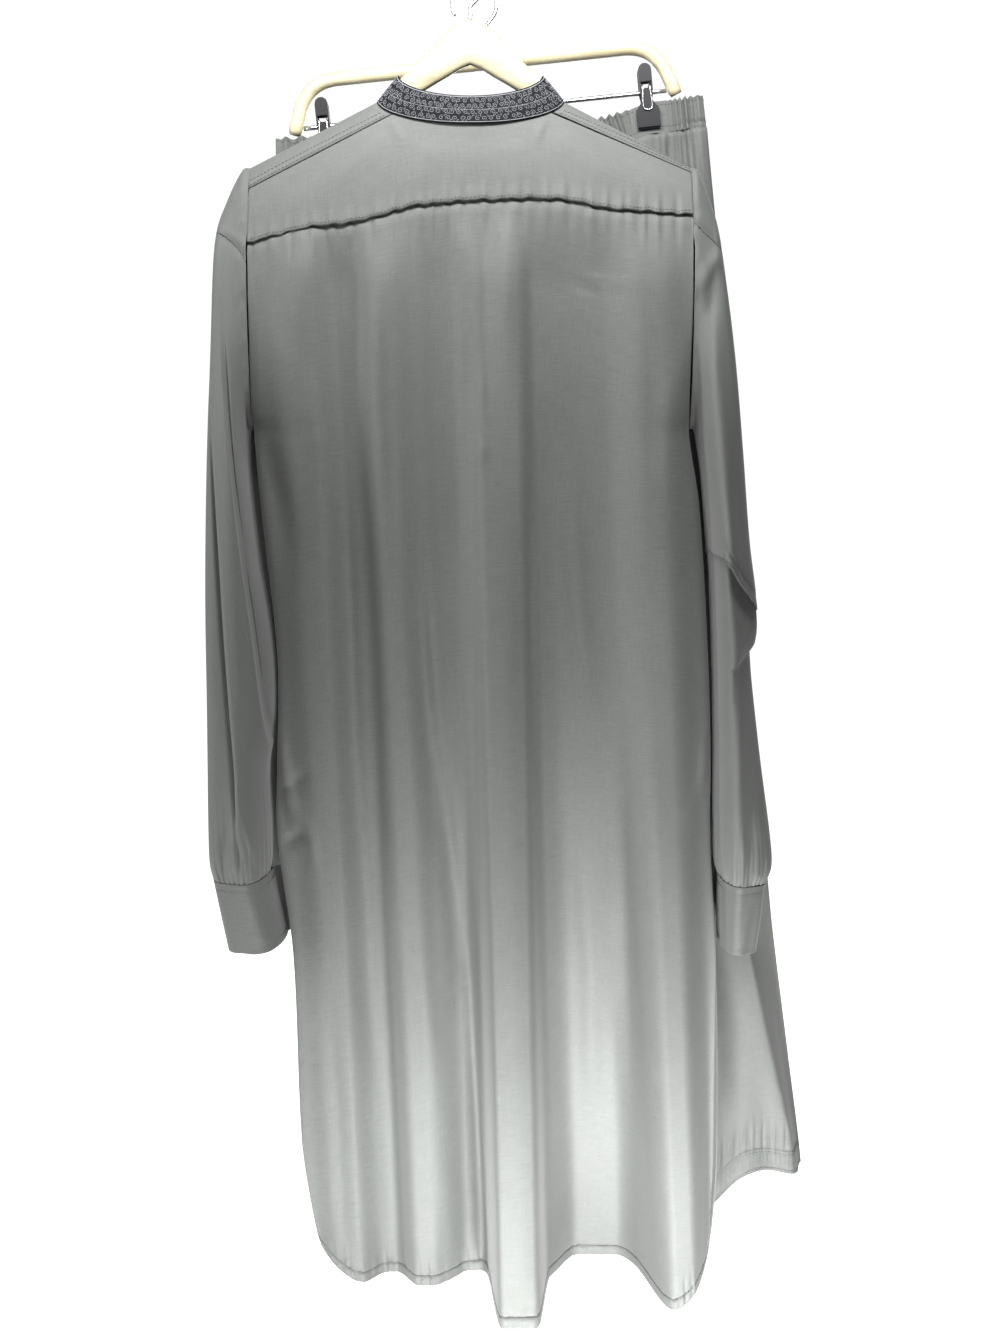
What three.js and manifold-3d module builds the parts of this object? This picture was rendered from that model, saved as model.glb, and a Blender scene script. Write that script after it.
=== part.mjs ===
// A shalwar kameez as it hangs on a rail: the kameez (long shirt) on a wooden coat hanger and,
// behind it, the shalwar (trousers) on a wooden clip hanger. The rail runs front to back.
//
// Millimetres. +Z is up, +X runs across the shoulders, and the back of the kameez faces -Y.
// The origin is where the rail carries the coat hanger's hook. Left and right are -X and +X.
//
// Cloth is a wall of even thickness about a middle surface. A surface is a grid of columns,
// which run down the cloth, and rows, which run across it.

import * as THREE from 'three';
import { mergeVertices } from 'three/addons/utils/BufferGeometryUtils.js';
import Module from 'manifold-3d';

const wasm = await Module();
wasm.setup();

// ---------------------------------------------------------------- driving dimensions

const WALL = 1.3; // thickness of the cloth wall
const GAP = 0.35; // clear space between pieces that are sewn or pressed together

// Shoulder line of the kameez, and the arch that the cloth makes over the hanger's arms.
const SHOULDER = { top: -85, slope: 0.5, halfDepth: 30, archDrop: 110 };
const NECK = { halfWidth: 78, side: -124, backDrop: 24, frontDrop: 30 };
const COLLAR = {
  halfWidth: 61, side: -103, backDrop: 22, frontDrop: 26, backDepth: 23, frontDepth: 25, square: 0.6,
  opening: 0.012,
};
const SHOULDER_SEAM = { leftDrop: 20, rightNeckDrop: 18, rightEndDrop: 5, neckX: 64 };
const ARMHOLE = { x: 188.6, under: -400, straightDrop: 80 };
const SLIT = { top: -728, backOpen: 14, backOpenRight: 40, frontOpen: 30, length: 330 };
const HEM = { back: -1178, front: -1172, cornerRadius: 36, backY: -14, frontY: 42 };
const PLACKET = { halfWidth: 16, firstRow: 6, lastRow: 6 };
const BUTTON = { radius: 5.5, thickness: 2.2, sides: 12 };
const PLACKET_BUTTONS = [-200, -300, -400];

// Side edges of the kameez body, seen from behind.
const BODY_EDGES = [
  { z: -170, left: -188.6, right: 188.6 },
  { z: -300, left: -188.6, right: 188.6 },
  { z: -400, left: -188.6, right: 188.6 },
  { z: -467, left: -184, right: 199 },
  { z: -600, left: -172, right: 209 },
  { z: -700, left: -174, right: 213 },
  { z: -760, left: -175, right: 213 },
  { z: -870, left: -162, right: 219 },
  { z: -1047, left: -156, right: 220 },
  { z: -1125, left: -145, right: 215 },
  { z: -1178, left: -130, right: 206 },
];

// Seam between the back yoke and the back panel.
const YOKE_SEAM = [
  { x: -188.6, z: -246 },
  { x: -140, z: -234 },
  { x: -92, z: -228 },
  { x: -41, z: -215 },
  { x: 73, z: -210 },
  { x: 113, z: -217 },
  { x: 188.6, z: -222 },
];

// Folds that hang down a panel: the place of the crest and how far it stands out from the panel
// (a trough is negative), at the top and at the hem, then the half width of its flat crest, the
// width of each flank, and how late the fold opens on its way down.
const BACK_FOLDS = [
  { top: -150, hem: -110, outTop: 5, outHem: 10, crest: 8, flank: 26, late: 1 },
  { top: -112, hem: -78, outTop: -5, outHem: -12, crest: 5, flank: 22, late: 1 },
  { top: -76, hem: -42, outTop: 7, outHem: 13, crest: 5, flank: 22, late: 1 },
  { top: -28, hem: 0, outTop: -5, outHem: -14, crest: 4, flank: 18, late: 1.4 },
  { top: 22, hem: 42, outTop: 8, outHem: 84, crest: 15, flank: 15, late: 2.4 },
  { top: 88, hem: 118, outTop: -6, outHem: -44, crest: 18, flank: 36, late: 2.6 },
  { top: 150, hem: 190, outTop: 6, outHem: 62, crest: 7, flank: 32, late: 2.6 },
];
const FRONT_FOLDS = [
  { top: -150, hem: -128, outTop: 4, outHem: 9, crest: 6, flank: 30, late: 1 },
  { top: -96, hem: -66, outTop: -4, outHem: -7, crest: 6, flank: 24, late: 1 },
  { top: -44, hem: -14, outTop: 3, outHem: 9, crest: 6, flank: 24, late: 1.5 },
  { top: 44, hem: 56, outTop: 3, outHem: -6, crest: 6, flank: 24, late: 1.5 },
  { top: 98, hem: 120, outTop: 4, outHem: 10, crest: 14, flank: 30, late: 1 },
  { top: 150, hem: 178, outTop: -3, outHem: -6, crest: 6, flank: 24, late: 1 },
];

// Rings of a sleeve, from the armhole to the cuff seam: its outer line, its inner line, and half
// its depth front to back. Left sleeve x is negative.
const SLEEVE_LEFT = [
  { outerX: -190.1, outerZ: -179.3, innerX: -190.1, innerZ: -400, halfDepth: 30 },
  { outerX: -196, outerZ: -182, innerX: -194.5, innerZ: -401.5, halfDepth: 31 },
  { outerX: -208, outerZ: -206, innerX: -195, innerZ: -415, halfDepth: 36 },
  { outerX: -218, outerZ: -240, innerX: -195, innerZ: -438, halfDepth: 45 },
  { outerX: -222, outerZ: -320, innerX: -192, innerZ: -475, halfDepth: 57 },
  { outerX: -226, outerZ: -400, innerX: -187, innerZ: -520, halfDepth: 63 },
  { outerX: -229, outerZ: -480, innerX: -180.5, innerZ: -560, halfDepth: 65 },
  { outerX: -231, outerZ: -560, innerX: -176, innerZ: -605, halfDepth: 65 },
  { outerX: -231.5, outerZ: -630, innerX: -176.5, innerZ: -650, halfDepth: 64 },
  { outerX: -232, outerZ: -690, innerX: -183, innerZ: -698, halfDepth: 62 },
  { outerX: -233, outerZ: -745, innerX: -181.5, innerZ: -747, halfDepth: 60 },
  { outerX: -233.5, outerZ: -780, innerX: -181.5, innerZ: -780, halfDepth: 56 },
  { outerX: -231, outerZ: -797, innerX: -183, innerZ: -795, halfDepth: 50 },
];
const SLEEVE_RIGHT = [
  { outerX: 190.1, outerZ: -179.3, innerX: 190.1, innerZ: -400, halfDepth: 30 },
  { outerX: 195, outerZ: -183, innerX: 195.5, innerZ: -402, halfDepth: 31 },
  { outerX: 206, outerZ: -210, innerX: 199, innerZ: -420, halfDepth: 34 },
  { outerX: 214, outerZ: -240, innerX: 203, innerZ: -445, halfDepth: 40 },
  { outerX: 227, outerZ: -330, innerX: 208, innerZ: -490, halfDepth: 48 },
  { outerX: 236, outerZ: -420, innerX: 212, innerZ: -535, halfDepth: 52 },
  { outerX: 243, outerZ: -500, innerX: 214, innerZ: -575, halfDepth: 53 },
  { outerX: 251, outerZ: -560, innerX: 215, innerZ: -600, halfDepth: 53 },
  { outerX: 250, outerZ: -583, innerX: 215.5, innerZ: -612, halfDepth: 52 },
  { outerX: 245, outerZ: -597, innerX: 216, innerZ: -622, halfDepth: 50 },
  { outerX: 255, outerZ: -680, innerX: 217.5, innerZ: -690, halfDepth: 50 },
  { outerX: 266, outerZ: -755, innerX: 218.5, innerZ: -757, halfDepth: 50 },
  { outerX: 268, outerZ: -786, innerX: 220, innerZ: -785, halfDepth: 48 },
  { outerX: 262, outerZ: -800, innerX: 223.5, innerZ: -799, halfDepth: 45 },
];
const CUFF_LEFT = [
  { outerX: -231, outerZ: -797.6, innerX: -183, innerZ: -795.6, halfDepth: 50 },
  { outerX: -225, outerZ: -830, innerX: -177, innerZ: -827, halfDepth: 50 },
  { outerX: -219, outerZ: -861, innerX: -170, innerZ: -857, halfDepth: 50 },
];
const CUFF_RIGHT = [
  { outerX: 262, outerZ: -800.6, innerX: 223.5, innerZ: -799.6, halfDepth: 45 },
  { outerX: 259, outerZ: -832, innerX: 224, innerZ: -831, halfDepth: 45 },
  { outerX: 255, outerZ: -862, innerX: 224.5, innerZ: -861, halfDepth: 45 },
];
const SLEEVE_LOBES = { count: 3, size: 0.1, phase: 0.6 };

// Shalwar: the plane that it hangs in, its waistband, and the edges of its two legs.
const SHALWAR_Y = 81.7;
const WAIST = {
  left: -179, right: 209, leftTop: -137, rightTop: -99, sag: 22, height: 27, halfDepth: 10, gathers: 64,
};
const GATHER = { depth: 2.6, fadeIn: 0.06 };
const PINCH = { halfDepth: 1.05, flat: 13, flank: 34 };
// The centre seam of the shalwar leans a little; below the crotch each inseam leaves it.
const CENTRE_SEAM = { topZ: -90, topX: 15, crotchZ: -500, crotchX: 45, gap: 0.5, gapBelow: 0.95, closing: 60 };
const LEG_EDGES = [
  { z: -90, leftOuter: -179, leftAway: 0, rightAway: 0, rightOuter: 209 },
  { z: -165, leftOuter: -177, leftAway: 0, rightAway: 0, rightOuter: 217 },
  { z: -300, leftOuter: -170, leftAway: 0, rightAway: 0, rightOuter: 232 },
  { z: -500, leftOuter: -162, leftAway: 0, rightAway: 0, rightOuter: 250 },
  { z: -560, leftOuter: -157, leftAway: 9, rightAway: 15, rightOuter: 256 },
  { z: -700, leftOuter: -150, leftAway: 12, rightAway: 41, rightOuter: 268 },
  { z: -850, leftOuter: -140, leftAway: 7, rightAway: 61, rightOuter: 285 },
  { z: -1000, leftOuter: -130, leftAway: -3, rightAway: 79, rightOuter: 306 },
  { z: -1110, leftOuter: -120, leftAway: -15, rightAway: 93, rightOuter: 321 },
  { z: -1160, leftOuter: -118, leftAway: -17, rightAway: 95, rightOuter: 323 },
];
const LEG = { hemLeft: -1150, hemInner: -1140, hemRight: -1110, halfDepth: 22, folds: 4.5, foldDepth: 6 };
// The right leg swings forward below the knee, in one broad fold next to the kameez.
const LEG_FOLD = { top: 205, hem: 240, outTop: 0, outHem: 17, crest: 16, flank: 44, late: 3.6 };

// Coat hanger: its upper line from the neck to the tip of an arm.
const COAT_HANGER = {
  tip: 186, halfThickness: 5.5, armHeight: 15, clearance: WALL / 2 + GAP + 0.25, sides: 10, square: 0.7,
  tipRound: 14,
};
const HANGER_LINE = [
  { x: 0, top: -57.5, bottom: -93.5 },
  { x: 9, top: -58.5, bottom: -97 },
  { x: 20, top: -67, bottom: -103.5 },
  { x: 30, top: -77, bottom: -109 },
  { x: 45, top: -92, bottom: -118 },
  { x: 61, top: -106.5, bottom: -128 },
  { x: 76, top: -126.4, bottom: -139 },
];
const HOOK = {
  bow: 20, wire: 1.6, neckTop: -57.5, bend: -46, bowStart: -35, tipAngle: 205, bowPoints: 10, sides: 7, steps: 26,
};

// Clip hanger: a bent wooden frame with a steel bar and two clips, hanging a little askew.
const TILT = THREE.MathUtils.degToRad(5.8);
const FRAME = {
  halfTop: 158, topZ: -70, halfBottom: 174.5, bottomZ: -115, corner: 28, radius: 6.2, neckTop: -50,
  neckRadius: 7, neckFoot: 16, sides: 9, steps: 34,
};
const BAR = { z: -110.5, radius: 2.1, sides: 8 };
const CLIP = {
  x: 147, leverTop: 25, leverHalf: 6, waistHalf: 4.6, waistZ: -8, jawTop: -16, jawBottom: -31, jawHalf: 10.5,
  plate: 3, plateY: 2.95, padThickness: 0.6, padBottom: -32, slotHalf: 4.7, slotLow: 3, slotHigh: 9,
};
const SPRING = { x: 3.4, wire: 0.7, bottom: -15, top: 2.5, over: 5, sides: 5, steps: 34 };

// ---------------------------------------------------------------- materials

const finish = (color, roughness, metalness = 0) =>
  new THREE.MeshStandardMaterial({ color, roughness, metalness });
const CLOTH = finish(0x6c7371, 0.85);
const COLLAR_CLOTH = finish(0x2c2d31, 0.8);
const PALE_WOOD = finish(0xeadfbe, 0.5);
const YELLOW_WOOD = finish(0xd9c67a, 0.5);
const STEEL = finish(0xb9bcbd, 0.3, 1);
const BLACK_PLASTIC = finish(0x1c1d20, 0.45);
const PAD_RUBBER = finish(0x8d87a0, 0.8);
const BUTTON_PLASTIC = finish(0x3c4040, 0.4);

// ---------------------------------------------------------------- small helpers

const clamp = (value, low = 0, high = 1) => Math.min(high, Math.max(low, value));
const mix = (a, b, t) => a + (b - a) * t;
const smooth = (t) => clamp(t) ** 2 * (3 - 2 * clamp(t));
const signedPower = (value, power) => Math.sign(value) * Math.abs(value) ** power;
const steps = (from, to, count) => Array.from({ length: count + 1 }, (_, i) => mix(from, to, i / count));

// Value of a table's column at a given key, on a smooth curve through the rows.
function lookup(rows, key, column, at) {
  const order = Math.sign(rows[1][key] - rows[0][key]);
  let i = rows.findIndex((row) => (row[key] - at) * order > 0);
  if (i < 0) return rows[rows.length - 1][column];
  if (i === 0) return rows[0][column];
  const slope = (k) => {
    const before = rows[Math.max(k - 1, 0)];
    const after = rows[Math.min(k + 1, rows.length - 1)];
    return (after[column] - before[column]) / (after[key] - before[key]);
  };
  const a = rows[i - 1];
  const b = rows[i];
  const span = b[key] - a[key];
  const t = (at - a[key]) / span;
  const bulge = (slope(i - 1) * span - (b[column] - a[column])) * (1 - t)
    + ((b[column] - a[column]) - slope(i) * span) * t;
  return mix(a[column], b[column], t) + t * (1 - t) * bulge;
}

// Closed wall about a middle surface, given as points and four-sided cells.
function thicken(points, cells, wall) {
  const normals = points.map(() => new THREE.Vector3());
  const diagonal = new THREE.Vector3();
  const other = new THREE.Vector3();
  for (const cell of cells) {
    diagonal.subVectors(points[cell[2]], points[cell[0]]);
    other.subVectors(points[cell[3]], points[cell[1]]);
    const normal = diagonal.clone().cross(other);
    for (const k of cell) normals[k].add(normal);
  }
  const count = points.length;
  const positions = [];
  for (const side of [1, -1]) {
    points.forEach((point, k) => {
      const offset = normals[k].clone().setLength(side * wall / 2);
      positions.push(point.x + offset.x, point.y + offset.y, point.z + offset.z);
    });
  }
  const index = [];
  const face = (a, b, c, d) => index.push(a, b, c, a, c, d);
  const open = new Map();
  for (const cell of cells) {
    const [a, b, c, d] = cell;
    face(a, b, c, d);
    face(d + count, c + count, b + count, a + count);
    cell.forEach((from, k) => {
      const to = cell[(k + 1) % cell.length];
      if (!open.delete(`${to},${from}`)) open.set(`${from},${to}`, [from, to]);
    });
  }
  for (const [from, to] of open.values()) face(to, from, from + count, to + count);
  const geometry = new THREE.BufferGeometry();
  geometry.setAttribute('position', new THREE.Float32BufferAttribute(positions, 3));
  geometry.setIndex(index);
  return compact(geometry);
}

// Points that no face uses are left out.
function compact(geometry) {
  const loose = geometry.toNonIndexed();
  return mergeVertices(loose, 1e-4);
}

// Cloth from a grid: place(column, row) gives the middle surface. A ring's last column joins its
// first. keep(i, j) says whether the cell between columns i, i+1 and rows j, j+1 is there.
function cloth(columns, rows, place, { ring = false, keep = () => true, wall = WALL } = {}) {
  const points = columns.flatMap((column, i) => rows.map((row, j) => place(column, row, i, j)));
  const at = (i, j) => (i % columns.length) * rows.length + j;
  const cells = [];
  const last = ring ? columns.length : columns.length - 1;
  for (let i = 0; i < last; i += 1) {
    for (let j = 0; j < rows.length - 1; j += 1) {
      if (keep(i, j)) cells.push([at(i, j), at(i, j + 1), at(i + 1, j + 1), at(i + 1, j)]);
    }
  }
  return outward(thicken(points, cells, wall));
}

// Turns the faces over if the solid is inside out.
function outward(geometry) {
  const index = geometry.index.array;
  const position = geometry.attributes.position;
  const corner = [0, 1, 2].map(() => new THREE.Vector3());
  let volume = 0;
  for (let k = 0; k < index.length; k += 3) {
    corner.forEach((point, n) => point.fromBufferAttribute(position, index[k + n]));
    volume += corner[0].dot(corner[1].cross(corner[2]));
  }
  if (volume < 0) {
    for (let k = 0; k < index.length; k += 3) [index[k], index[k + 1]] = [index[k + 1], index[k]];
  }
  geometry.computeVertexNormals();
  return geometry;
}

const parts = new THREE.Group();

function add(name, geometry, material, group = parts) {
  const mesh = new THREE.Mesh(geometry, material);
  mesh.name = name;
  group.add(mesh);
  return mesh;
}

// ---------------------------------------------------------------- kameez: body surface

const ridge = (x) => SHOULDER.top - SHOULDER.slope * Math.abs(x);

// Distance of the cloth from the shoulder line, front or back: a quarter ellipse.
const archDepth = (drop) =>
  SHOULDER.halfDepth * Math.sqrt(1 - (1 - clamp(drop / SHOULDER.archDrop)) ** 2);

// Half the opening of the armhole at a height, which closes at the underarm.
function armholeDepth(z) {
  const drop = ridge(ARMHOLE.x) - z;
  const underDrop = ridge(ARMHOLE.x) - ARMHOLE.under;
  const toUnder = clamp((drop - ARMHOLE.straightDrop) / (underDrop - ARMHOLE.straightDrop));
  return archDepth(drop) * Math.sqrt(1 - toUnder ** 2);
}

// Distance below the neck's side point along the neckline or the collar's edge.
const neckCurve = (x, halfWidth) => Math.sqrt(1 - clamp(Math.abs(x) / halfWidth) ** 2);
const neckline = (x, drop) => NECK.side - drop * neckCurve(x, NECK.halfWidth);

function foldPlace(fold, down) {
  return mix(fold.top, fold.hem, down);
}

// How far the folds push the cloth out at x, a share `down` of the way to the hem.
function foldOut(folds, x, down) {
  let out = 0;
  for (const fold of folds) {
    const away = clamp((Math.abs(x - foldPlace(fold, down)) - fold.crest) / fold.flank);
    out += mix(fold.outTop, fold.outHem, down ** fold.late) * (0.5 + 0.5 * Math.cos(Math.PI * away));
  }
  return out;
}

const FOLD_TOP = -215;
const SIDE = { back: -1, front: 1 };
const BODY_ROUND = 5; // a higher value makes the body's side edge squarer
const FOLD_FADE = 70; // the folds grow over this distance below the yoke

// Point of the kameez body on one side, at x and z.
function bodyPoint(side, x, z) {
  const back = side === SIDE.back;
  const folds = back ? BACK_FOLDS : FRONT_FOLDS;
  const hem = back ? HEM.back : HEM.front;
  const left = lookup(BODY_EDGES, 'z', 'left', z);
  const right = lookup(BODY_EDGES, 'z', 'right', z);
  const across = clamp((2 * x - left - right) / (right - left), -1, 1);
  const down = clamp((FOLD_TOP - z) / (FOLD_TOP - hem));
  const hemY = Math.abs(back ? HEM.backY : HEM.frontY);
  const base = mix(archDepth(ridge(x) - z), hemY, smooth(down));
  const openLength = clamp((SLIT.top - z) / SLIT.length);
  const backOpen = across > 0 ? SLIT.backOpenRight : SLIT.backOpen;
  const open = (back ? backOpen : SLIT.frontOpen) * openLength;
  const edge = Math.max(armholeDepth(z), GAP) + open;
  const inside = (1 - Math.abs(across) ** BODY_ROUND) ** (1 / BODY_ROUND);
  const fade = smooth((FOLD_TOP - z) / FOLD_FADE);
  const out = foldOut(folds, x, down) * fade;
  return new THREE.Vector3(x, side * (edge + (base + out - edge) * inside), z);
}

// Columns of a panel follow its folds: each is a share of the way between two knots, which are
// the side edges and the two sides of each crest.
function panelColumns(folds, between, onCrest) {
  const columns = [];
  const knots = 2 * folds.length + 1;
  for (let knot = 0; knot < knots; knot += 1) {
    const count = knot % 2 ? onCrest : between;
    for (let k = 0; k < count; k += 1) columns.push(knot + k / count);
  }
  columns.push(knots);
  return columns;
}

function knotPlace(folds, knot, z) {
  if (knot === 0) return lookup(BODY_EDGES, 'z', 'left', z);
  if (knot === 2 * folds.length + 1) return lookup(BODY_EDGES, 'z', 'right', z);
  const fold = folds[Math.floor((knot - 1) / 2)];
  const down = clamp((FOLD_TOP - z) / (FOLD_TOP - HEM.back));
  return foldPlace(fold, down) + (knot % 2 ? -fold.crest : fold.crest);
}

// Extra columns beside each side edge, where the cloth turns.
const EDGE_SHARES = [0.06, 0.22, 0.5];

function withEdges(columns) {
  const first = EDGE_SHARES;
  const end = columns[columns.length - 1];
  const inner = columns.filter((c) => c >= 1 && c <= end - 1);
  return [0, ...first, ...inner, ...first.map((share) => end - share).reverse(), end];
}

function columnX(folds, column, z) {
  const knot = Math.min(Math.floor(column), 2 * folds.length);
  return mix(knotPlace(folds, knot, z), knotPlace(folds, knot + 1, z), column - knot);
}

// Rise of the hem at a rounded corner.
function cornerRise(toEdge) {
  const short = clamp(HEM.cornerRadius - toEdge, 0, HEM.cornerRadius);
  return HEM.cornerRadius - Math.sqrt(HEM.cornerRadius ** 2 - short ** 2);
}

function hemHeight(folds, column, hem) {
  const end = 2 * folds.length + 1;
  const x = columnX(folds, column, hem);
  const toEdge = Math.min(x - columnX(folds, 0, hem), columnX(folds, end, hem) - x);
  return hem + cornerRise(toEdge);
}

// ---------------------------------------------------------------- kameez: panels

const yokeSeam = (x) => lookup(YOKE_SEAM, 'x', 'z', x);

function backPanel() {
  const columns = withEdges(panelColumns(BACK_FOLDS, 3, 2));
  const rows = steps(0, 1, 14).map((t) => t ** 0.9);
  return cloth(columns, rows, (column, row) => {
    const top = yokeSeam(columnX(BACK_FOLDS, column, FOLD_TOP)) - GAP;
    const z = mix(top, hemHeight(BACK_FOLDS, column, HEM.back), row);
    return bodyPoint(SIDE.back, columnX(BACK_FOLDS, column, z), z);
  });
}

// Drop of the shoulder seam below the shoulder line, on the back of the shoulder.
function shoulderSeamDrop(x) {
  if (x < 0) return SHOULDER_SEAM.leftDrop;
  const outward = clamp((x - SHOULDER_SEAM.neckX) / (ARMHOLE.x - SHOULDER_SEAM.neckX));
  return mix(SHOULDER_SEAM.rightNeckDrop, SHOULDER_SEAM.rightEndDrop, outward);
}

// A point on the arch over the shoulders: turn is 0 on the shoulder line, a right angle where the
// cloth hangs straight, positive at the front and negative at the back.
function archPoint(x, turn) {
  const z = ridge(x) - SHOULDER.archDrop * (1 - Math.cos(turn));
  return new THREE.Vector3(x, SHOULDER.halfDepth * Math.sin(turn), z);
}
const archTurn = (drop) => Math.acos(1 - clamp(drop / SHOULDER.archDrop));

function yokePanel() {
  const half = [0, 18, 34, 47, 57, SHOULDER_SEAM.neckX, 74, 92, 116, 141, 168, ARMHOLE.x];
  const columns = [...half.slice(1).reverse().map((x) => -x), ...half];
  return cloth(columns, steps(0, 1, 4), (x, row) => {
    const neckDrop = ridge(x) - neckline(x, NECK.backDrop);
    const seamDrop = shoulderSeamDrop(x) + GAP * 2;
    const topDrop = Math.abs(x) > NECK.halfWidth ? seamDrop : Math.max(neckDrop, seamDrop);
    const bottomDrop = ridge(x) - yokeSeam(x) - GAP / 2;
    if (bottomDrop <= SHOULDER.archDrop) {
      return archPoint(x, -mix(archTurn(bottomDrop), archTurn(topDrop), row));
    }
    const z = ridge(x) - mix(bottomDrop, topDrop, row);
    return new THREE.Vector3(x, -archDepth(ridge(x) - z), z);
  });
}

// The front panel runs from its hem up the chest to the neckline, and beside the neck over the
// shoulder line to the shoulder seam on the back.
const FRONT_END = 2 * FRONT_FOLDS.length + 1;
const NECK_KNOTS = [58, 67, 73, 76.8, NECK.halfWidth];

// The column of the front panel that passes through x on the chest.
function frontColumnAt(x) {
  let low = 0;
  let high = FRONT_END;
  while (high - low > 1e-4) {
    const middle = (low + high) / 2;
    if (columnX(FRONT_FOLDS, middle, FOLD_TOP) < x) low = middle;
    else high = middle;
  }
  return (low + high) / 2;
}

const NECK_COLUMNS = [...NECK_KNOTS.map((x) => -x).reverse(), ...NECK_KNOTS].map(frontColumnAt);
const PLACKET_COLUMNS = [-PLACKET.halfWidth, 0, PLACKET.halfWidth].map(frontColumnAt);
const [NECK_LEFT, NECK_RIGHT] = [NECK_COLUMNS[0], NECK_COLUMNS[NECK_COLUMNS.length - 1]];

const HANG_ROWS = steps(0, 1, 9).map((t) => ({ stage: 'hang', t: t ** 1.15 }));
const ARCH_ROWS = [0.3, 0.55, 0.75, 0.88, 0.945, 1].map((t) => ({ stage: 'arch', t }));
const FLAP_ROWS = [0.2, 0.5, 1].map((t) => ({ stage: 'flap', t }));

function frontPoint(column, row) {
  const chestX = columnX(FRONT_FOLDS, column, FOLD_TOP);
  const beside = column <= NECK_LEFT || column >= NECK_RIGHT;
  if (row.stage === 'hang') {
    const archFoot = ridge(chestX) - SHOULDER.archDrop;
    const z = mix(hemHeight(FRONT_FOLDS, column, HEM.front), archFoot, row.t);
    return bodyPoint(SIDE.front, columnX(FRONT_FOLDS, column, z), z);
  }
  if (row.stage === 'arch') {
    const topDrop = beside ? 0 : ridge(chestX) - neckline(chestX, NECK.frontDrop) + GAP;
    const point = archPoint(chestX, mix(Math.PI / 2, archTurn(topDrop), row.t));
    point.y = Math.max(point.y, bodyPoint(SIDE.front, point.x, point.z).y);
    return point;
  }
  const toNeck = clamp((ARMHOLE.x - Math.abs(chestX)) / (ARMHOLE.x - NECK.halfWidth));
  const turn = archTurn(shoulderSeamDrop(chestX)) * row.t;
  const shift = (NECK.halfWidth - neckEdgeX(SHOULDER.archDrop * (1 - Math.cos(turn)))) * toNeck;
  return archPoint(Math.sign(chestX) * (Math.abs(chestX) - shift), -turn);
}

// Where the back neckline crosses the cloth at a drop below the shoulder line.
function neckEdgeX(drop) {
  let low = 0;
  let high = NECK.halfWidth;
  while (high - low > 1e-4) {
    const middle = (low + high) / 2;
    if (ridge(middle) - neckline(middle, NECK.backDrop) > drop) low = middle;
    else high = middle;
  }
  return high + Math.min(drop, 1) * 2 * GAP;
}

function frontPanel() {
  const special = [...NECK_COLUMNS, ...PLACKET_COLUMNS];
  const clear = (column) => special.every((other) => Math.abs(other - column) > 0.15);
  const plain = withEdges(panelColumns(FRONT_FOLDS, 2, 2)).filter(clear);
  const columns = [...plain, ...special].sort((a, b) => a - b);
  const rows = [...HANG_ROWS, ...ARCH_ROWS, ...FLAP_ROWS];
  const firstFlap = HANG_ROWS.length + ARCH_ROWS.length - 1;
  const keep = (i, j) => j < firstFlap || columns[i + 1] <= NECK_LEFT || columns[i] >= NECK_RIGHT;
  return cloth(columns, rows, frontPoint, { keep });
}

// The placket lies on the front: its points are the front's own, moved out.
function placketPoint(column, row) {
  const point = frontPoint(column, row);
  point.y += WALL + GAP;
  return point;
}

function placketStrip() {
  const rows = [...HANG_ROWS.slice(PLACKET.firstRow), ...ARCH_ROWS.slice(0, PLACKET.lastRow)];
  return cloth(PLACKET_COLUMNS, rows, placketPoint);
}

// A band that stands on the neckline and leans in, open by a hair at the middle of the front.
function collarBand() {
  const quarter = [0, 0.17, 0.34, 0.5, 0.66, 0.8, 0.9, 0.955].map((t) => (t * Math.PI) / 2);
  const half = [...quarter, Math.PI / 2, ...quarter.map((turn) => Math.PI - turn).reverse()];
  const columns = [...half, ...half.slice(1).map((turn) => turn + Math.PI)];
  columns[0] += COLLAR.opening;
  columns[columns.length - 1] -= COLLAR.opening;
  return cloth(columns, [0, 0.5, 1], (turn, row) => {
    const front = Math.cos(turn) > 0;
    const side = -Math.sin(turn);
    const deep = Math.abs(Math.cos(turn));
    const lowX = side * NECK.halfWidth;
    const lowZ = neckline(lowX, front ? NECK.frontDrop : NECK.backDrop);
    const lowY = archDepth(ridge(lowX) - lowZ);
    const highZ = COLLAR.side - deep * (front ? COLLAR.frontDrop : COLLAR.backDrop);
    const highY = deep ** COLLAR.square * (front ? COLLAR.frontDepth : COLLAR.backDepth);
    const y = (front ? 1 : -1) * mix(lowY, highY, row);
    const x = mix(lowX, side * COLLAR.halfWidth, row);
    return new THREE.Vector3(x, y, mix(lowZ + WALL / 2 + GAP, highZ, row));
  });
}

// ---------------------------------------------------------------- kameez: sleeves and cuffs

const RING_TURNS = 18;
const ringColumns = Array.from({ length: RING_TURNS }, (_, i) => (2 * Math.PI * i) / RING_TURNS);
const RING_ROUND = 0.8; // below 1 the ring is squarer than an ellipse

// A flattened ring between an outer and an inner line.
function ringPoint(row, turn, lobes) {
  const lean = Math.cos(turn);
  const lobe = 1 + lobes * Math.cos(SLEEVE_LOBES.count * turn + SLEEVE_LOBES.phase);
  const x = mix(row.innerX, row.outerX, 0.5 + lean / 2);
  const z = mix(row.innerZ, row.outerZ, 0.5 + lean / 2);
  const y = row.halfDepth * signedPower(Math.sin(turn), RING_ROUND) * lobe;
  return new THREE.Vector3(x, y, z);
}

// The first rings take the armhole's shape and the later ones their own.
const ARMHOLE_RINGS = 3;

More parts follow.
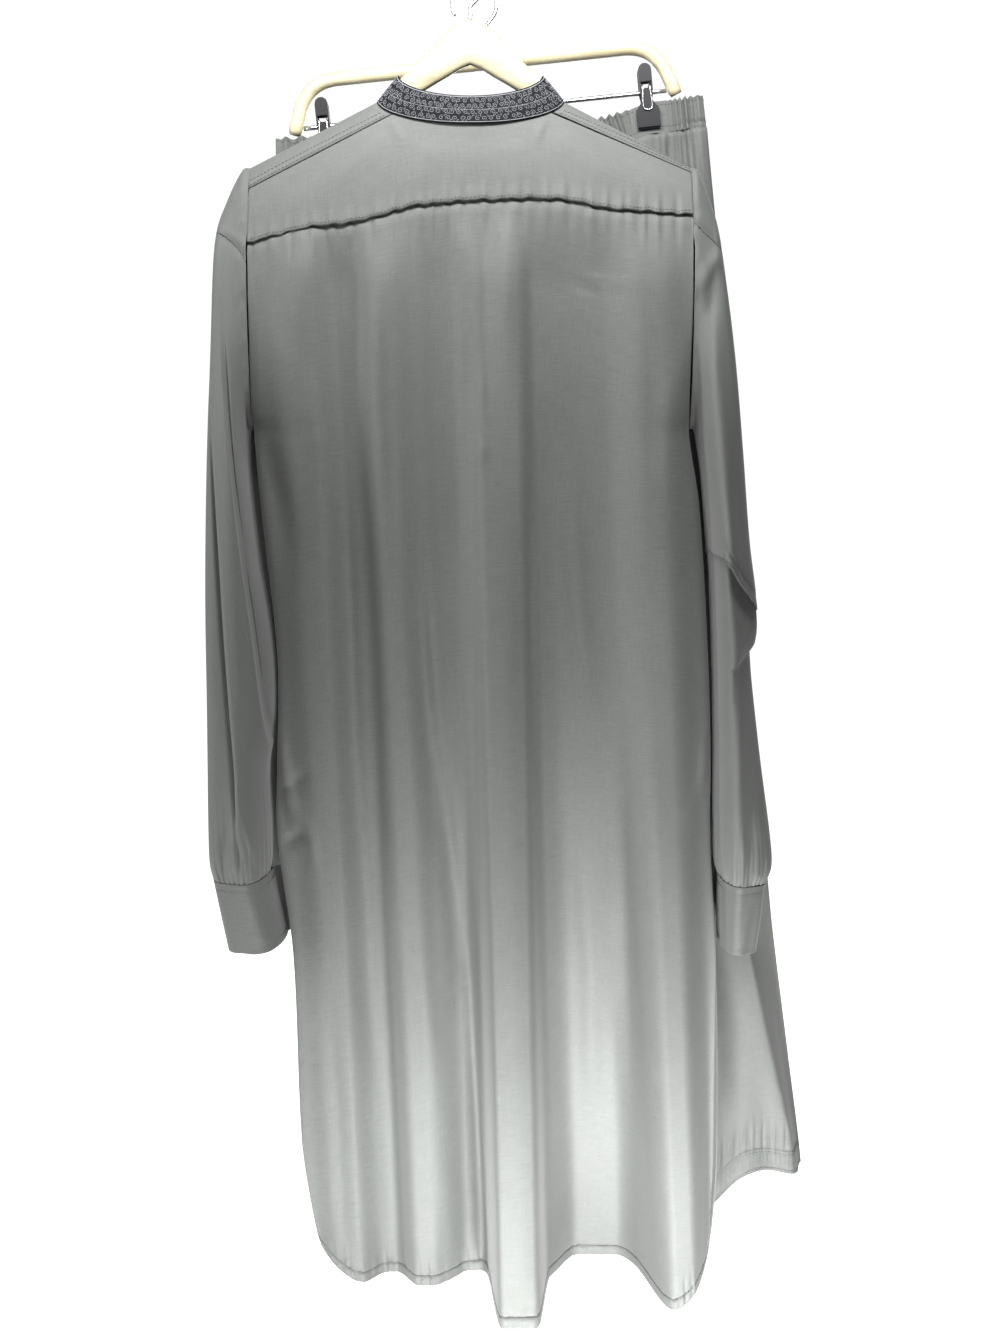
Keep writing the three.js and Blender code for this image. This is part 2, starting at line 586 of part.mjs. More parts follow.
function sleeve(rings) {
  return cloth(ringColumns, rings, (turn, row, i, j) => {
    const own = smooth(j / ARMHOLE_RINGS);
    const point = ringPoint(row, turn, SLEEVE_LOBES.size * own);
    const armholeZ = mix(ARMHOLE.under, ridge(ARMHOLE.x), 0.5 + Math.cos(turn) / 2);
    const armholeY = Math.sign(Math.sin(turn)) * armholeDepth(armholeZ);
    point.y = mix(armholeY, point.y, own);
    return point;
  }, { ring: true });
}

const cuff = (rings) => cloth(ringColumns, rings, (turn, row) =>
  ringPoint(row, turn, SLEEVE_LOBES.size), { ring: true, wall: WALL * 1.2 });

// A button with its face towards +Y or -Y.
function button(x, y, z) {
  const geometry = new THREE.CylinderGeometry(
    BUTTON.radius, BUTTON.radius, BUTTON.thickness, BUTTON.sides);
  return geometry.translate(x, y, z);
}

// ---------------------------------------------------------------- shalwar

// Upper edge of the waistband: it hangs from the two clips and sags between them.
const clipWorld = (side) => new THREE.Vector2(side * CLIP.x, BAR.z + CLIP.jawBottom + 8).rotateAround(
  new THREE.Vector2(), TILT);
const CLIPS = { left: clipWorld(-1), right: clipWorld(1) };

function waistTop(x) {
  const along = clamp((x - WAIST.left) / (WAIST.right - WAIST.left));
  const span = (CLIPS.right.x - CLIPS.left.x) / 2;
  const away = (x - (CLIPS.right.x + CLIPS.left.x) / 2) / span;
  return mix(WAIST.leftTop, WAIST.rightTop, along) - WAIST.sag * clamp(1 - away ** 2);
}

// 1 where a clip pinches the waistband, 0 away from it.
function pinch(x) {
  const away = Math.min(Math.abs(x - CLIPS.left.x), Math.abs(x - CLIPS.right.x));
  return 1 - smooth((away - PINCH.flat) / PINCH.flank);
}

// Fullness of a flattened tube at a share of the way to its edge.
const END_ROUND = 6;
const roundEdge = (across) => (1 - Math.abs(across) ** END_ROUND) ** (1 / END_ROUND);
const waistDepth = (x, across) =>
  mix(WAIST.halfDepth, PINCH.halfDepth, pinch(x)) * roundEdge(across);

function waistband() {
  const perGather = 4;
  const count = WAIST.gathers * perGather;
  const columns = Array.from({ length: count }, (_, i) => i);
  return cloth(columns, [0, 1], (i, row) => {
    const around = i / count;
    const front = around < 0.5;
    const across = front ? 4 * around - 1 : 3 - 4 * around;
    const x = mix(WAIST.left, WAIST.right, 0.5 + across / 2);
    const loose = (1 - pinch(x)) * smooth((1 - Math.abs(across)) / GATHER.fadeIn);
    const wave = GATHER.depth * loose * Math.sin((2 * Math.PI * i) / perGather);
    const y = SHALWAR_Y + (front ? -1 : 1) * (waistDepth(x, across) + wave);
    return new THREE.Vector3(x, y, waistTop(x) - WAIST.height * row);
  }, { ring: true });
}

// Inner edge of a leg: the centre seam above the crotch, the inseam below it.
function legInner(side, z) {
  const { topZ, topX, crotchZ, crotchX, gap, gapBelow, closing } = CENTRE_SEAM;
  const seam = mix(topX, crotchX, clamp((topZ - z) / (topZ - crotchZ)));
  const away = z < crotchZ ? lookup(LEG_EDGES, 'z', side > 0 ? 'rightAway' : 'leftAway', z) : 0;
  return seam + side * (mix(gap, gapBelow, smooth((crotchZ + closing - z) / closing)) + away);
}

const LEG_LAYER = [0, 0.012, 0.05, 0.13, 0.23, 0.33, 0.43, 0.53, 0.62, 0.71, 0.79, 0.87, 0.93, 0.97, 0.992];
const LEG_ROWS = [0, 0.04, 0.12, 0.22, 0.32, 0.38, 0.43, 0.55, 0.68, 0.8, 0.91, 1];

// One leg, cut as a single piece: it runs from the middle of the front round the outside to the
// middle of the back, and below the crotch its two long edges meet at the inseam.
function leg(side) {
  const outerKey = side > 0 ? 'rightOuter' : 'leftOuter';
  const columns = [...LEG_LAYER.map((s) => s - 1), 0, ...LEG_LAYER.map((s) => 1 - s).reverse()];
  return cloth(columns, LEG_ROWS, (column, row) => {
    const outward = 1 - Math.abs(column);
    const layer = column <= 0 ? -1 : 1;
    const topX = mix(legInner(side, WAIST.rightTop), lookup(LEG_EDGES, 'z', outerKey, WAIST.rightTop), outward);
    const top = waistTop(topX) - WAIST.height - 2.4 * GAP;
    const z = mix(top, mix(LEG.hemInner, side > 0 ? LEG.hemRight : LEG.hemLeft, outward), row);
    const x = mix(legInner(side, z), lookup(LEG_EDGES, 'z', outerKey, z), outward);
    const down = clamp((top - z) / (top - LEG.hemInner));
    const closed = smooth((CENTRE_SEAM.crotchZ - z) / CENTRE_SEAM.closing);
    const toInner = closed * clamp(1 - outward / 0.45);
    const round = roundEdge(outward) * roundEdge(toInner);
    const half = mix(waistDepth(topX, 0), LEG.halfDepth, smooth(down * 4));
    const wave = Math.cos(2 * Math.PI * LEG.folds * outward + layer) * LEG.foldDepth * smooth(down * 5);
    const swing = side > 0 && layer < 0 ? foldOut([LEG_FOLD], x, down) : 0;
    const depth = (half + wave * (1 - toInner) + swing) * round;
    return new THREE.Vector3(x, SHALWAR_Y + layer * Math.max(depth, GAP * closed), z);
  });
}

// ---------------------------------------------------------------- hangers

// Wooden arms lofted along X from rounded sections, with a raised neck in the middle.
function coatHangerBody() {
  const half = [0, 9, 20, 30, 45, 61, 76, 110, 150, 176, 183, COAT_HANGER.tip];
  const stations = [...half.slice(1).reverse().map((x) => -x), ...half];
  const neckEnd = HANGER_LINE[HANGER_LINE.length - 1].x;
  const sections = stations.map((x) => {
    const reach = Math.abs(x);
    const onNeck = reach <= neckEnd;
    const armTop = ridge(x) - COAT_HANGER.clearance;
    const top = onNeck ? lookup(HANGER_LINE, 'x', 'top', reach) : armTop;
    const bottom = onNeck ? lookup(HANGER_LINE, 'x', 'bottom', reach) : armTop - COAT_HANGER.armHeight;
    const size = Math.sqrt(clamp((COAT_HANGER.tip + 1 - reach) / COAT_HANGER.tipRound));
    const halfHeight = (size * (top - bottom)) / 2;
    return Array.from({ length: COAT_HANGER.sides }, (_, k) => {
      const turn = (2 * Math.PI * (k + 0.5)) / COAT_HANGER.sides;
      const y = COAT_HANGER.halfThickness * size * signedPower(Math.cos(turn), COAT_HANGER.square);
      const z = (top + bottom) / 2 + halfHeight * signedPower(Math.sin(turn), COAT_HANGER.square);
      return new THREE.Vector3(x, y, z);
    });
  });
  return loft(sections);
}

// Closed solid through rings of points, with flat ends.
function loft(sections) {
  const sides = sections[0].length;
  const positions = sections.flat().flatMap((point) => point.toArray());
  const index = [];
  for (let i = 0; i < sections.length - 1; i += 1) {
    for (let k = 0; k < sides; k += 1) {
      const a = i * sides + k;
      const b = i * sides + ((k + 1) % sides);
      index.push(a, b, b + sides, a, b + sides, a + sides);
    }
  }
  const end = (sections.length - 1) * sides;
  for (let k = 1; k < sides - 1; k += 1) index.push(0, k + 1, k, end, end + k, end + k + 1);
  const geometry = new THREE.BufferGeometry();
  geometry.setAttribute('position', new THREE.Float32BufferAttribute(positions, 3));
  geometry.setIndex(index);
  return outward(geometry);
}

// Round bar or wire along a path.
function wire(path, radius, sides, stepCount) {
  const shape = new THREE.Shape();
  steps(0, 2 * Math.PI, sides).slice(0, sides).forEach((turn, k) => {
    const [x, y] = [radius * Math.cos(turn), radius * Math.sin(turn)];
    if (k) shape.lineTo(x, y);
    else shape.moveTo(x, y);
  });
  const geometry = new THREE.ExtrudeGeometry(shape, {
    extrudePath: path, steps: stepCount, bevelEnabled: false, curveSegments: 1,
  });
  geometry.deleteAttribute('normal');
  geometry.deleteAttribute('uv');
  return outward(mergeVertices(geometry, 1e-4));
}

// A question mark of wire: a straight shank up from its foot, a bend to the right, and a bow that
// is open to the left.
function hookWire(foot) {
  const centreZ = HOOK.wire - HOOK.bow;
  const bow = steps(HOOK.bowStart, HOOK.tipAngle, HOOK.bowPoints).map((degrees) => {
    const turn = THREE.MathUtils.degToRad(degrees);
    return new THREE.Vector3(HOOK.bow * Math.cos(turn), 0, centreZ + HOOK.bow * Math.sin(turn));
  });
  const shank = [foot + GAP, HOOK.bend].map((z) => new THREE.Vector3(0, 0, z));
  return wire(new THREE.CatmullRomCurve3([...shank, ...bow]), HOOK.wire, HOOK.sides, HOOK.steps);
}

function toManifold(geometry) {
  const bare = new THREE.BufferGeometry();
  bare.setAttribute('position', geometry.attributes.position);
  bare.setIndex(geometry.index);
  const merged = mergeVertices(bare, 1e-4);
  return new wasm.Manifold(new wasm.Mesh({
    numProp: 3,
    vertProperties: Float32Array.from(merged.attributes.position.array),
    triVerts: Uint32Array.from(merged.index.array),
  }));
}

function fromManifold(solid) {
  const mesh = solid.getMesh();
  const geometry = new THREE.BufferGeometry();
  geometry.setAttribute('position', new THREE.BufferAttribute(mesh.vertProperties, 3));
  geometry.setIndex(new THREE.BufferAttribute(mesh.triVerts, 1));
  return outward(geometry);
}

// Bent wooden frame: down one side, over the top and down the other, with a turned neck.
function clipHangerFrame() {
  const point = (x, z) => new THREE.Vector3(x, 0, z);
  const side = (sign) => {
    const corner = point(sign * FRAME.halfTop, FRAME.topZ);
    const foot = point(sign * FRAME.halfBottom, FRAME.bottomZ);
    const onLeg = corner.clone().lerp(foot, FRAME.corner / corner.distanceTo(foot));
    const onTop = point(sign * (FRAME.halfTop - FRAME.corner), FRAME.topZ);
    return { corner, foot, onLeg, onTop };
  };
  const [left, right] = [side(-1), side(1)];
  const path = new THREE.CurvePath();
  path.add(new THREE.LineCurve3(left.foot, left.onLeg));
  path.add(new THREE.QuadraticBezierCurve3(left.onLeg, left.corner, left.onTop));
  path.add(new THREE.LineCurve3(left.onTop, right.onTop));
  path.add(new THREE.QuadraticBezierCurve3(right.onTop, right.corner, right.onLeg));
  path.add(new THREE.LineCurve3(right.onLeg, right.foot));
  const bent = wire(path, FRAME.radius, FRAME.sides, FRAME.steps);
  const neckProfile = [
    [0, FRAME.topZ - 2], [FRAME.neckFoot / 2, FRAME.topZ - 2], [FRAME.neckRadius, FRAME.topZ + 8],
    [FRAME.neckRadius - 1.5, FRAME.neckTop], [0, FRAME.neckTop],
  ].map(([x, z]) => new THREE.Vector2(x, z));
  const neck = new THREE.LatheGeometry(neckProfile, 12).rotateX(Math.PI / 2);
  neck.deleteAttribute('normal');
  neck.deleteAttribute('uv');
  return fromManifold(toManifold(bent).add(toManifold(outward(mergeVertices(neck, 1e-4)))));
}

function clipHangerBar() {
  const atBar = (BAR.z - FRAME.topZ) / (FRAME.bottomZ - FRAME.topZ);
  const half = mix(FRAME.halfTop, FRAME.halfBottom, atBar) - FRAME.radius * 1.12 - GAP;
  const path = new THREE.LineCurve3(new THREE.Vector3(-half, 0, BAR.z), new THREE.Vector3(half, 0, BAR.z));
  return wire(path, BAR.radius, BAR.sides, 1);
}

// Outline of one half of a clip seen from the front: a round-topped lever over a broad jaw, with a
// slot that the spring passes through.
function clipPlate(x, y) {
  const shape = new THREE.Shape();
  const round = 5;
  shape.moveTo(-CLIP.jawHalf, CLIP.jawBottom);
  shape.lineTo(CLIP.jawHalf, CLIP.jawBottom);
  shape.lineTo(CLIP.jawHalf, CLIP.jawTop);
  shape.lineTo(CLIP.waistHalf, CLIP.waistZ);
  shape.lineTo(CLIP.leverHalf, CLIP.waistZ + 8);
  for (const turn of steps(0, Math.PI, round)) {
    const z = CLIP.leverTop - CLIP.leverHalf + CLIP.leverHalf * Math.sin(turn);
    shape.lineTo(CLIP.leverHalf * Math.cos(turn), z);
  }
  shape.lineTo(-CLIP.leverHalf, CLIP.waistZ + 8);
  shape.lineTo(-CLIP.waistHalf, CLIP.waistZ);
  shape.lineTo(-CLIP.jawHalf, CLIP.jawTop);
  shape.closePath();
  const slot = new THREE.Path();
  slot.moveTo(-CLIP.slotHalf, CLIP.slotLow);
  slot.lineTo(-CLIP.slotHalf, CLIP.slotHigh);
  slot.lineTo(CLIP.slotHalf, CLIP.slotHigh);
  slot.lineTo(CLIP.slotHalf, CLIP.slotLow);
  shape.holes.push(slot);
  return plate(shape, CLIP.plate, x, y);
}

function clipPad(x, y) {
  const half = CLIP.jawHalf - 0.8;
  const shape = new THREE.Shape();
  shape.moveTo(-half, CLIP.padBottom);
  shape.lineTo(half, CLIP.padBottom);
  shape.lineTo(half, CLIP.jawTop - 3);
  shape.lineTo(-half, CLIP.jawTop - 3);
  shape.closePath();
  return plate(shape, CLIP.padThickness, x, y);
}

// A flat plate whose outline lies in X and Z, centred on the bar and starting at y.
function plate(shape, thickness, x, y) {
  const geometry = new THREE.ExtrudeGeometry(shape, { depth: thickness, bevelEnabled: false, steps: 1 });
  geometry.rotateX(Math.PI / 2).translate(x, y + thickness, BAR.z);
  geometry.deleteAttribute('normal');
  geometry.deleteAttribute('uv');
  return outward(mergeVertices(geometry, 1e-4));
}

// One bent wire: up the back, over the bar, down the front, across, and back again.
function clipSpring(x) {
  const face = CLIP.plateY + CLIP.plate + SPRING.wire + GAP;
  const arch = (sign, turns) => turns.map((turn) => new THREE.Vector3(
    x + sign * SPRING.x, face * Math.cos(turn), BAR.z + SPRING.top + SPRING.over * Math.sin(turn)));
  const foot = (sign, end) => new THREE.Vector3(x + sign * SPRING.x, end * face, BAR.z + SPRING.bottom);
  const turns = steps(0, Math.PI, 6);
  const points = [foot(-1, 1), ...arch(-1, turns), foot(-1, -1),
    foot(1, -1), ...arch(1, [...turns].reverse()), foot(1, 1)];
  return wire(new THREE.CatmullRomCurve3(points, false, 'centripetal'), SPRING.wire, SPRING.sides, SPRING.steps);
}

// ---------------------------------------------------------------- assembly

add('kameez_back', backPanel(), CLOTH);
add('kameez_yoke', yokePanel(), CLOTH);
add('kameez_front', frontPanel(), CLOTH);
add('kameez_placket', placketStrip(), CLOTH);
add('kameez_collar', collarBand(), COLLAR_CLOTH);
add('kameez_sleeve_left', sleeve(SLEEVE_LEFT), CLOTH);
add('kameez_sleeve_right', sleeve(SLEEVE_RIGHT), CLOTH);
add('kameez_cuff_left', cuff(CUFF_LEFT), CLOTH);
add('kameez_cuff_right', cuff(CUFF_RIGHT), CLOTH);

PLACKET_BUTTONS.forEach((z, k) => {
  const face = bodyPoint(SIDE.front, 0, z).y + WALL * 1.5 + GAP;
  add(`placket_button_${k + 1}`, button(0, face + GAP * 2 + BUTTON.thickness / 2, z), BUTTON_PLASTIC);
});

add('shalwar_waistband', waistband(), CLOTH);
add('shalwar_leg_left', leg(-1), CLOTH);
add('shalwar_leg_right', leg(1), CLOTH);

add('coat_hanger_body', coatHangerBody(), PALE_WOOD);
add('coat_hanger_hook', hookWire(HOOK.neckTop), STEEL);

const clipHanger = new THREE.Group();
clipHanger.position.y = SHALWAR_Y;
clipHanger.rotation.y = -TILT;
parts.add(clipHanger);
add('clip_hanger_frame', clipHangerFrame(), YELLOW_WOOD, clipHanger);
add('clip_hanger_hook', hookWire(FRAME.neckTop), STEEL, clipHanger);
add('clip_hanger_bar', clipHangerBar(), STEEL, clipHanger);
for (const [name, x] of [['left', -CLIP.x], ['right', CLIP.x]]) {
  const padY = CLIP.plateY - CLIP.padThickness - GAP;
  add(`clip_${name}_jaw_back`, clipPlate(x, -CLIP.plateY - CLIP.plate), BLACK_PLASTIC, clipHanger);
  add(`clip_${name}_jaw_front`, clipPlate(x, CLIP.plateY), BLACK_PLASTIC, clipHanger);
  add(`clip_${name}_pad_back`, clipPad(x, -padY - CLIP.padThickness), PAD_RUBBER, clipHanger);
  add(`clip_${name}_pad_front`, clipPad(x, padY), PAD_RUBBER, clipHanger);
  add(`clip_${name}_spring`, clipSpring(x), STEEL, clipHanger);
}

export default parts;
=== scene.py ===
"""A shalwar kameez on its two hangers, seen from behind.

The kameez hangs on a wooden coat hanger, and the shalwar behind it on a wooden clip hanger. Both
hooks hang on one rail. +X runs across the shoulders, +Z is up, and the back of the kameez faces
-Y. Sizes are in millimetres, and each mesh is written in metres.
"""
import math

import bmesh
import bpy
import numpy as np
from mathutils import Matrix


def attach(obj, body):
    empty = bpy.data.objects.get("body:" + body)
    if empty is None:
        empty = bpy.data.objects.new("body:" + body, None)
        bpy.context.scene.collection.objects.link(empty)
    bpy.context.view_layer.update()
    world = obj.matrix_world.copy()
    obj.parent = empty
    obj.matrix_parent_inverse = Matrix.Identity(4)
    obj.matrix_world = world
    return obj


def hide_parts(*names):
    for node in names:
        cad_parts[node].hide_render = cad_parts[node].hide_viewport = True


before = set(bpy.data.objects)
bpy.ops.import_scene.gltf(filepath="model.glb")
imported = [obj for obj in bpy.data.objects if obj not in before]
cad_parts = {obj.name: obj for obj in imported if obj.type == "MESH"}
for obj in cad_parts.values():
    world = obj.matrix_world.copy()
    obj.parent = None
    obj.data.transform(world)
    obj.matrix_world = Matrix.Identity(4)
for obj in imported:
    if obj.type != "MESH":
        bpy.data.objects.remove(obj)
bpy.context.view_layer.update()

MM = 0.001

# ------------------------------------------------------------------ floor, lights and camera
# A pale floor under the hem, white walls all round, and soft lamps: one low in front of the hem,
# one just above the shoulders, one at the left, which shows the folds, and one behind.

CAMERA_PLACE, CAMERA_DOWN, FILM_HEIGHT, LENS_LENGTH = (0.025, -1.310, -0.460), 6.47, 36, 40
WALLS_LIGHT, WALLS_SEEN, FLOOR_SEEN = 0.2, 0.85, 0.95
FLOOR_HALF, FLOOR_HEIGHT = 12.0, -1.45

camera = bpy.data.objects.new("camera", bpy.data.cameras.new("camera"))
camera.location = CAMERA_PLACE
camera.rotation_euler = (math.radians(90 - CAMERA_DOWN), 0, 0)
camera.data.sensor_fit = "VERTICAL"
camera.data.sensor_height = FILM_HEIGHT
camera.data.lens = LENS_LENGTH
bpy.context.scene.collection.objects.link(camera)
bpy.context.scene.camera = camera
bpy.context.scene.view_settings.view_transform = "Standard"


class Value:
    """A socket of a finish. Sums and products of values add Math nodes."""

    def __init__(self, finish, socket):
        self.finish, self.socket = finish, socket

    def math(self, operation, first, second=0.0):
        return self.finish.node("ShaderNodeMath", {"operation": operation}, {0: first, 1: second})

    def __add__(self, other):
        return self.math("ADD", self, other)

    __radd__ = __add__

    def __mul__(self, other):
        return self.math("MULTIPLY", self, other)

    __rmul__ = __mul__


class Finish:
    """A material or world made of nodes."""

    def __init__(self, name, owner=None):
        self.owner = owner or bpy.data.materials.new(name)
        self.owner.use_nodes = True
        self.tree = self.owner.node_tree
        self.tree.nodes.clear()

    def node(self, kind, settings=(), inputs=(), output=0):
        """Adds a node, sets it up, fills its sockets, and gives back one of its outputs."""
        made = self.tree.nodes.new(kind)
        for key, setting in dict(settings).items():
            setattr(made, key, setting)
        for key, given in dict(inputs).items():
            if isinstance(given, Value):
                self.tree.links.new(given.socket, made.inputs[key])
            else:
                made.inputs[key].default_value = given
        return Value(self, made.outputs[output]) if made.outputs else None

    def place(self):
        """Where a point lies on the piece, in metres."""
        return self.node("ShaderNodeTexCoord", (), (), "Object")

    def woven_place(self):
        """Where a point lies along and across the cloth, in metres."""
        return self.node("ShaderNodeUVMap", {"uv_map": "UVMap"})

    def mixed(self, share, first, second):
        """A colour that goes from the first to the second as the share goes from 0 to 1."""
        first, second = (c if isinstance(c, Value) else (*c, 1) for c in (first, second))
        settings = {"data_type": "RGBA"}
        return self.node("ShaderNodeMix", settings, {0: share, 6: first, 7: second}, 2)

    def noise(self, place, scale, detail=2.0, stretch=(1, 1, 1)):
        """Smooth noise from 0 to 1 over a place that is stretched first."""
        moved = self.node("ShaderNodeVectorMath", {"operation": "MULTIPLY"}, {0: place, 1: stretch})
        return self.node("ShaderNodeTexNoise", (), {"Vector": moved, "Scale": scale, "Detail": detail})

    def bump(self, height, distance, strength):
        """A normal that leans with a height, which stands for a distance in metres."""
        inputs = {"Height": height, "Distance": distance, "Strength": strength}
        return self.node("ShaderNodeBump", (), inputs)

    def surface(self, **sockets):
        """Ends the material in a Principled shader with these sockets."""
        inputs = {key.replace("_", " "): given for key, given in sockets.items()}
        for key, given in inputs.items():
            if isinstance(given, tuple) and len(given) == 3:
                inputs[key] = (*given, 1)
        shader = self.node("ShaderNodeBsdfPrincipled", (), inputs)
        self.node("ShaderNodeOutputMaterial", (), {"Surface": shader})
        return self.owner


studio = Finish("studio", bpy.data.worlds.new("studio"))
bpy.context.scene.world = studio.owner
seen = studio.node("ShaderNodeLightPath", (), (), "Is Camera Ray")
strength = seen * WALLS_SEEN + WALLS_LIGHT
white_walls = studio.node("ShaderNodeBackground", (), {"Color": (1, 1, 1, 1), "Strength": strength})
studio.node("ShaderNodeOutputWorld", (), {"Surface": white_walls})


def lamp(name, power, place, aim, size, spread=180):
    """A soft rectangular lamp at a place, turned to face its aim. Its light stays within the
    spread, in degrees."""
    light = bpy.data.objects.new(name, bpy.data.lights.new(name, "AREA"))
    light.data.energy = power
    light.data.shape = "RECTANGLE"
    light.data.size, light.data.size_y = size
    toward = np.array(aim, float) - np.array(place, float)
    yaw = math.atan2(toward[1], toward[0]) - math.pi / 2
    tilt = math.atan2(math.hypot(toward[0], toward[1]), -toward[2])
    light.location = place
    light.rotation_euler = (tilt, 0, yaw)
    light.data.spread = math.radians(spread)
    light.visible_camera = False
    bpy.context.scene.collection.objects.link(light)


lamp("low_lamp", 5.8, (0.10, -0.52, -1.36), (0.12, 0.0, -1.02), (0.5, 0.15), 72)
lamp("top_lamp", 11.6, (0.03, -0.33, 0.15), (0.02, 0.0, -0.22), (0.6, 0.15))
lamp("left_lamp", 24, (-1.5, -0.45, -0.35), (0.0, 0.0, -0.6), (0.25, 1.2))
lamp("rear_lamp", 25, (0.4, 1.8, 0.3), (0.0, 0.0, -0.7), (1.2, 1.2))

floor_finish = Finish("floor")
floor_shade = floor_finish.noise(floor_finish.place(), 3.0)
floor_seen = floor_finish.node("ShaderNodeLightPath", (), (), "Is Camera Ray")
floor_finish.surface(Base_Color=floor_finish.mixed(floor_shade, (0.90, 0.90, 0.90), (0.97, 0.97, 0.97)),
                     Roughness=0.8, Emission_Color=(1, 1, 1), Emission_Strength=floor_seen * FLOOR_SEEN)
floor_mesh = bpy.data.meshes.new("floor")
floor_mesh.from_pydata([(x * FLOOR_HALF, y * FLOOR_HALF, FLOOR_HEIGHT)
                        for x, y in ((-1, -1), (1, -1), (1, 1), (-1, 1))], [], [(0, 1, 2, 3)])
floor_mesh.materials.append(floor_finish.owner)
floor = bpy.data.objects.new("floor", floor_mesh)
bpy.context.scene.collection.objects.link(floor)

# ------------------------------------------------------------------ kameez: back panel
# The long back of the shirt, cut in one piece from light plain-woven grey cloth. It is sewn to
# the yoke above, hangs in soft folds that open towards the hem, and ends in a narrow turned hem.

CLOTH_WALL, HALF_SEAM = 0.8, 0.5
HEM_BAND, YOKE_TUCK, SIDE_INSET = 9, 4, 8
# The turned hem: how much thicker its band is and how soon, the depth and width of the groove along
# its stitching, the reach and length of the puckers, and the rise, reach and length of the crimp.
HEM_STEP, HEM_BEND, HEM_GROOVE, HEM_GROOVE_WIDTH = 0.7, 1.2, 0.9, 1.1
HEM_PUCKER_REACH, HEM_PUCKER_LENGTH = 9, 8
HEM_CRIMP, HEM_CRIMP_REACH, HEM_CRIMP_LENGTH = 0.5, 3.2, 7
# Puckers under the yoke: their length and seed, which the yoke shares, then rise and reach here.
PUCKER_LENGTH, PUCKER_SEED, BACK_PUCKER, BACK_PUCKER_REACH = 12, 1.0, 1.7, 20
BACK_GROOVE, BACK_CREASE_GAIN = 1.7, 1.5
SHOULDER_TOP, SHOULDER_SLOPE, SHOULDER_HALF_DEPTH, ARCH_DROP = -85, 0.5, 30, 110
ARMHOLE_X, UNDERARM, ARMHOLE_STRAIGHT = 188.6, -400, 80
SLIT_TOP, SLIT_LENGTH = -728, 330
SLIT_OPEN = {"back_left": 14, "back_right": 40, "front": 30}
HEM = {"back": -1178, "front": -1172}
HEM_DEPTH = {"back": 14, "front": 42}
CORNER_RADIUS = 36
FOLD_TOP, FOLD_FADE, BODY_ROUND = -215, 70, 5
BODY_LEFT = [(170, -188.6), (300, -188.6), (400, -188.6), (467, -184), (600, -172), (700, -174),
             (760, -175), (870, -162), (1047, -156), (1125, -145), (1178, -130)]
BODY_RIGHT = [(170, 188.6), (300, 188.6), (400, 188.6), (467, 199), (600, 209), (700, 213),
              (760, 213), (870, 219), (1047, 220), (1125, 215), (1178, 206)]
YOKE_SEAM = [(-188.6, -246), (-140, -234), (-92, -228), (-41, -215), (73, -210), (113, -217),
             (188.6, -222)]
# Shares of the way down where rows stand closer, under the yoke and, from the edge, at the hem.
SEAM_ROWS = [0, 0.0015, 0.003, 0.0045, 0.006]
BACK_HEM_ROWS = [0.001, 0.003, 0.0045, 0.0075, 0.0085, 0.0095, 0.011, 0.013]
# Each fold: its place at the top and at the hem, how far it stands out at both, the half width
# of its crest, the width of its flanks, and how late it opens.
BACK_FOLDS = [(-150, -110, 5, 10, 8, 26, 1), (-112, -78, -5, -12, 5, 22, 1),
              (-76, -42, 7, 13, 5, 22, 1), (-28, 0, -5, -14, 4, 18, 1.4),
              (22, 42, 8, 84, 15, 15, 2.4), (88, 118, -6, -44, 18, 36, 2.6),
              (150, 190, 6, 62, 7, 32, 2.6)]


def clamp(value, low=0.0, high=1.0):
    """The value, kept from low to high."""
    return np.minimum(np.maximum(value, low), high)


def mix(first, second, share):
    """Goes from the first to the second as the share goes from 0 to 1."""
    return first + (second - first) * share


def smooth(share):
    """Goes from 0 to 1 with level ends."""
    share = clamp(share)
    return share * share * (3 - 2 * share)


def bell(away, width):
    """Falls from 1 as exp(-(away / width)^2)."""
    return np.exp(-((away / width) ** 2))


def curve(table, at):
    """Smooth curve through a table's (key, value) rows: a cubic whose slope at a row is that
    between its two neighbours, and level beyond the ends."""
    keys, values = np.array(table, float).T
    last = len(keys) - 1
    before, after = np.maximum(np.arange(last + 1) - 1, 0), np.minimum(np.arange(last + 1) + 1, last)
    slopes = (values[after] - values[before]) / (keys[after] - keys[before])
    low = np.clip(np.searchsorted(keys, at, side="right") - 1, 0, last - 1)
    span, rise = keys[low + 1] - keys[low], values[low + 1] - values[low]
    share = clamp((at - keys[low]) / span)
    bulge = (slopes[low] * span - rise) * (1 - share) + (rise - slopes[low + 1] * span) * share
    return mix(values[low], values[low + 1], share) + share * (1 - share) * bulge


def ridge(x):
    """Height of the shoulder line."""
    return SHOULDER_TOP - SHOULDER_SLOPE * np.abs(x)


def arch_depth(drop):
    """Depth of the cloth at a drop below the shoulder line: a quarter of an ellipse."""
    return SHOULDER_HALF_DEPTH * np.sqrt(1 - (1 - clamp(drop / ARCH_DROP)) ** 2)


def armhole_depth(z):
    """Half the width of the armhole at a height: the arch, closed as a quarter ellipse below."""
    drop = ridge(ARMHOLE_X) - z
    under = ridge(ARMHOLE_X) - UNDERARM
    low = clamp((drop - ARMHOLE_STRAIGHT) / (under - ARMHOLE_STRAIGHT))
    return arch_depth(drop) * np.sqrt(1 - low ** 2)


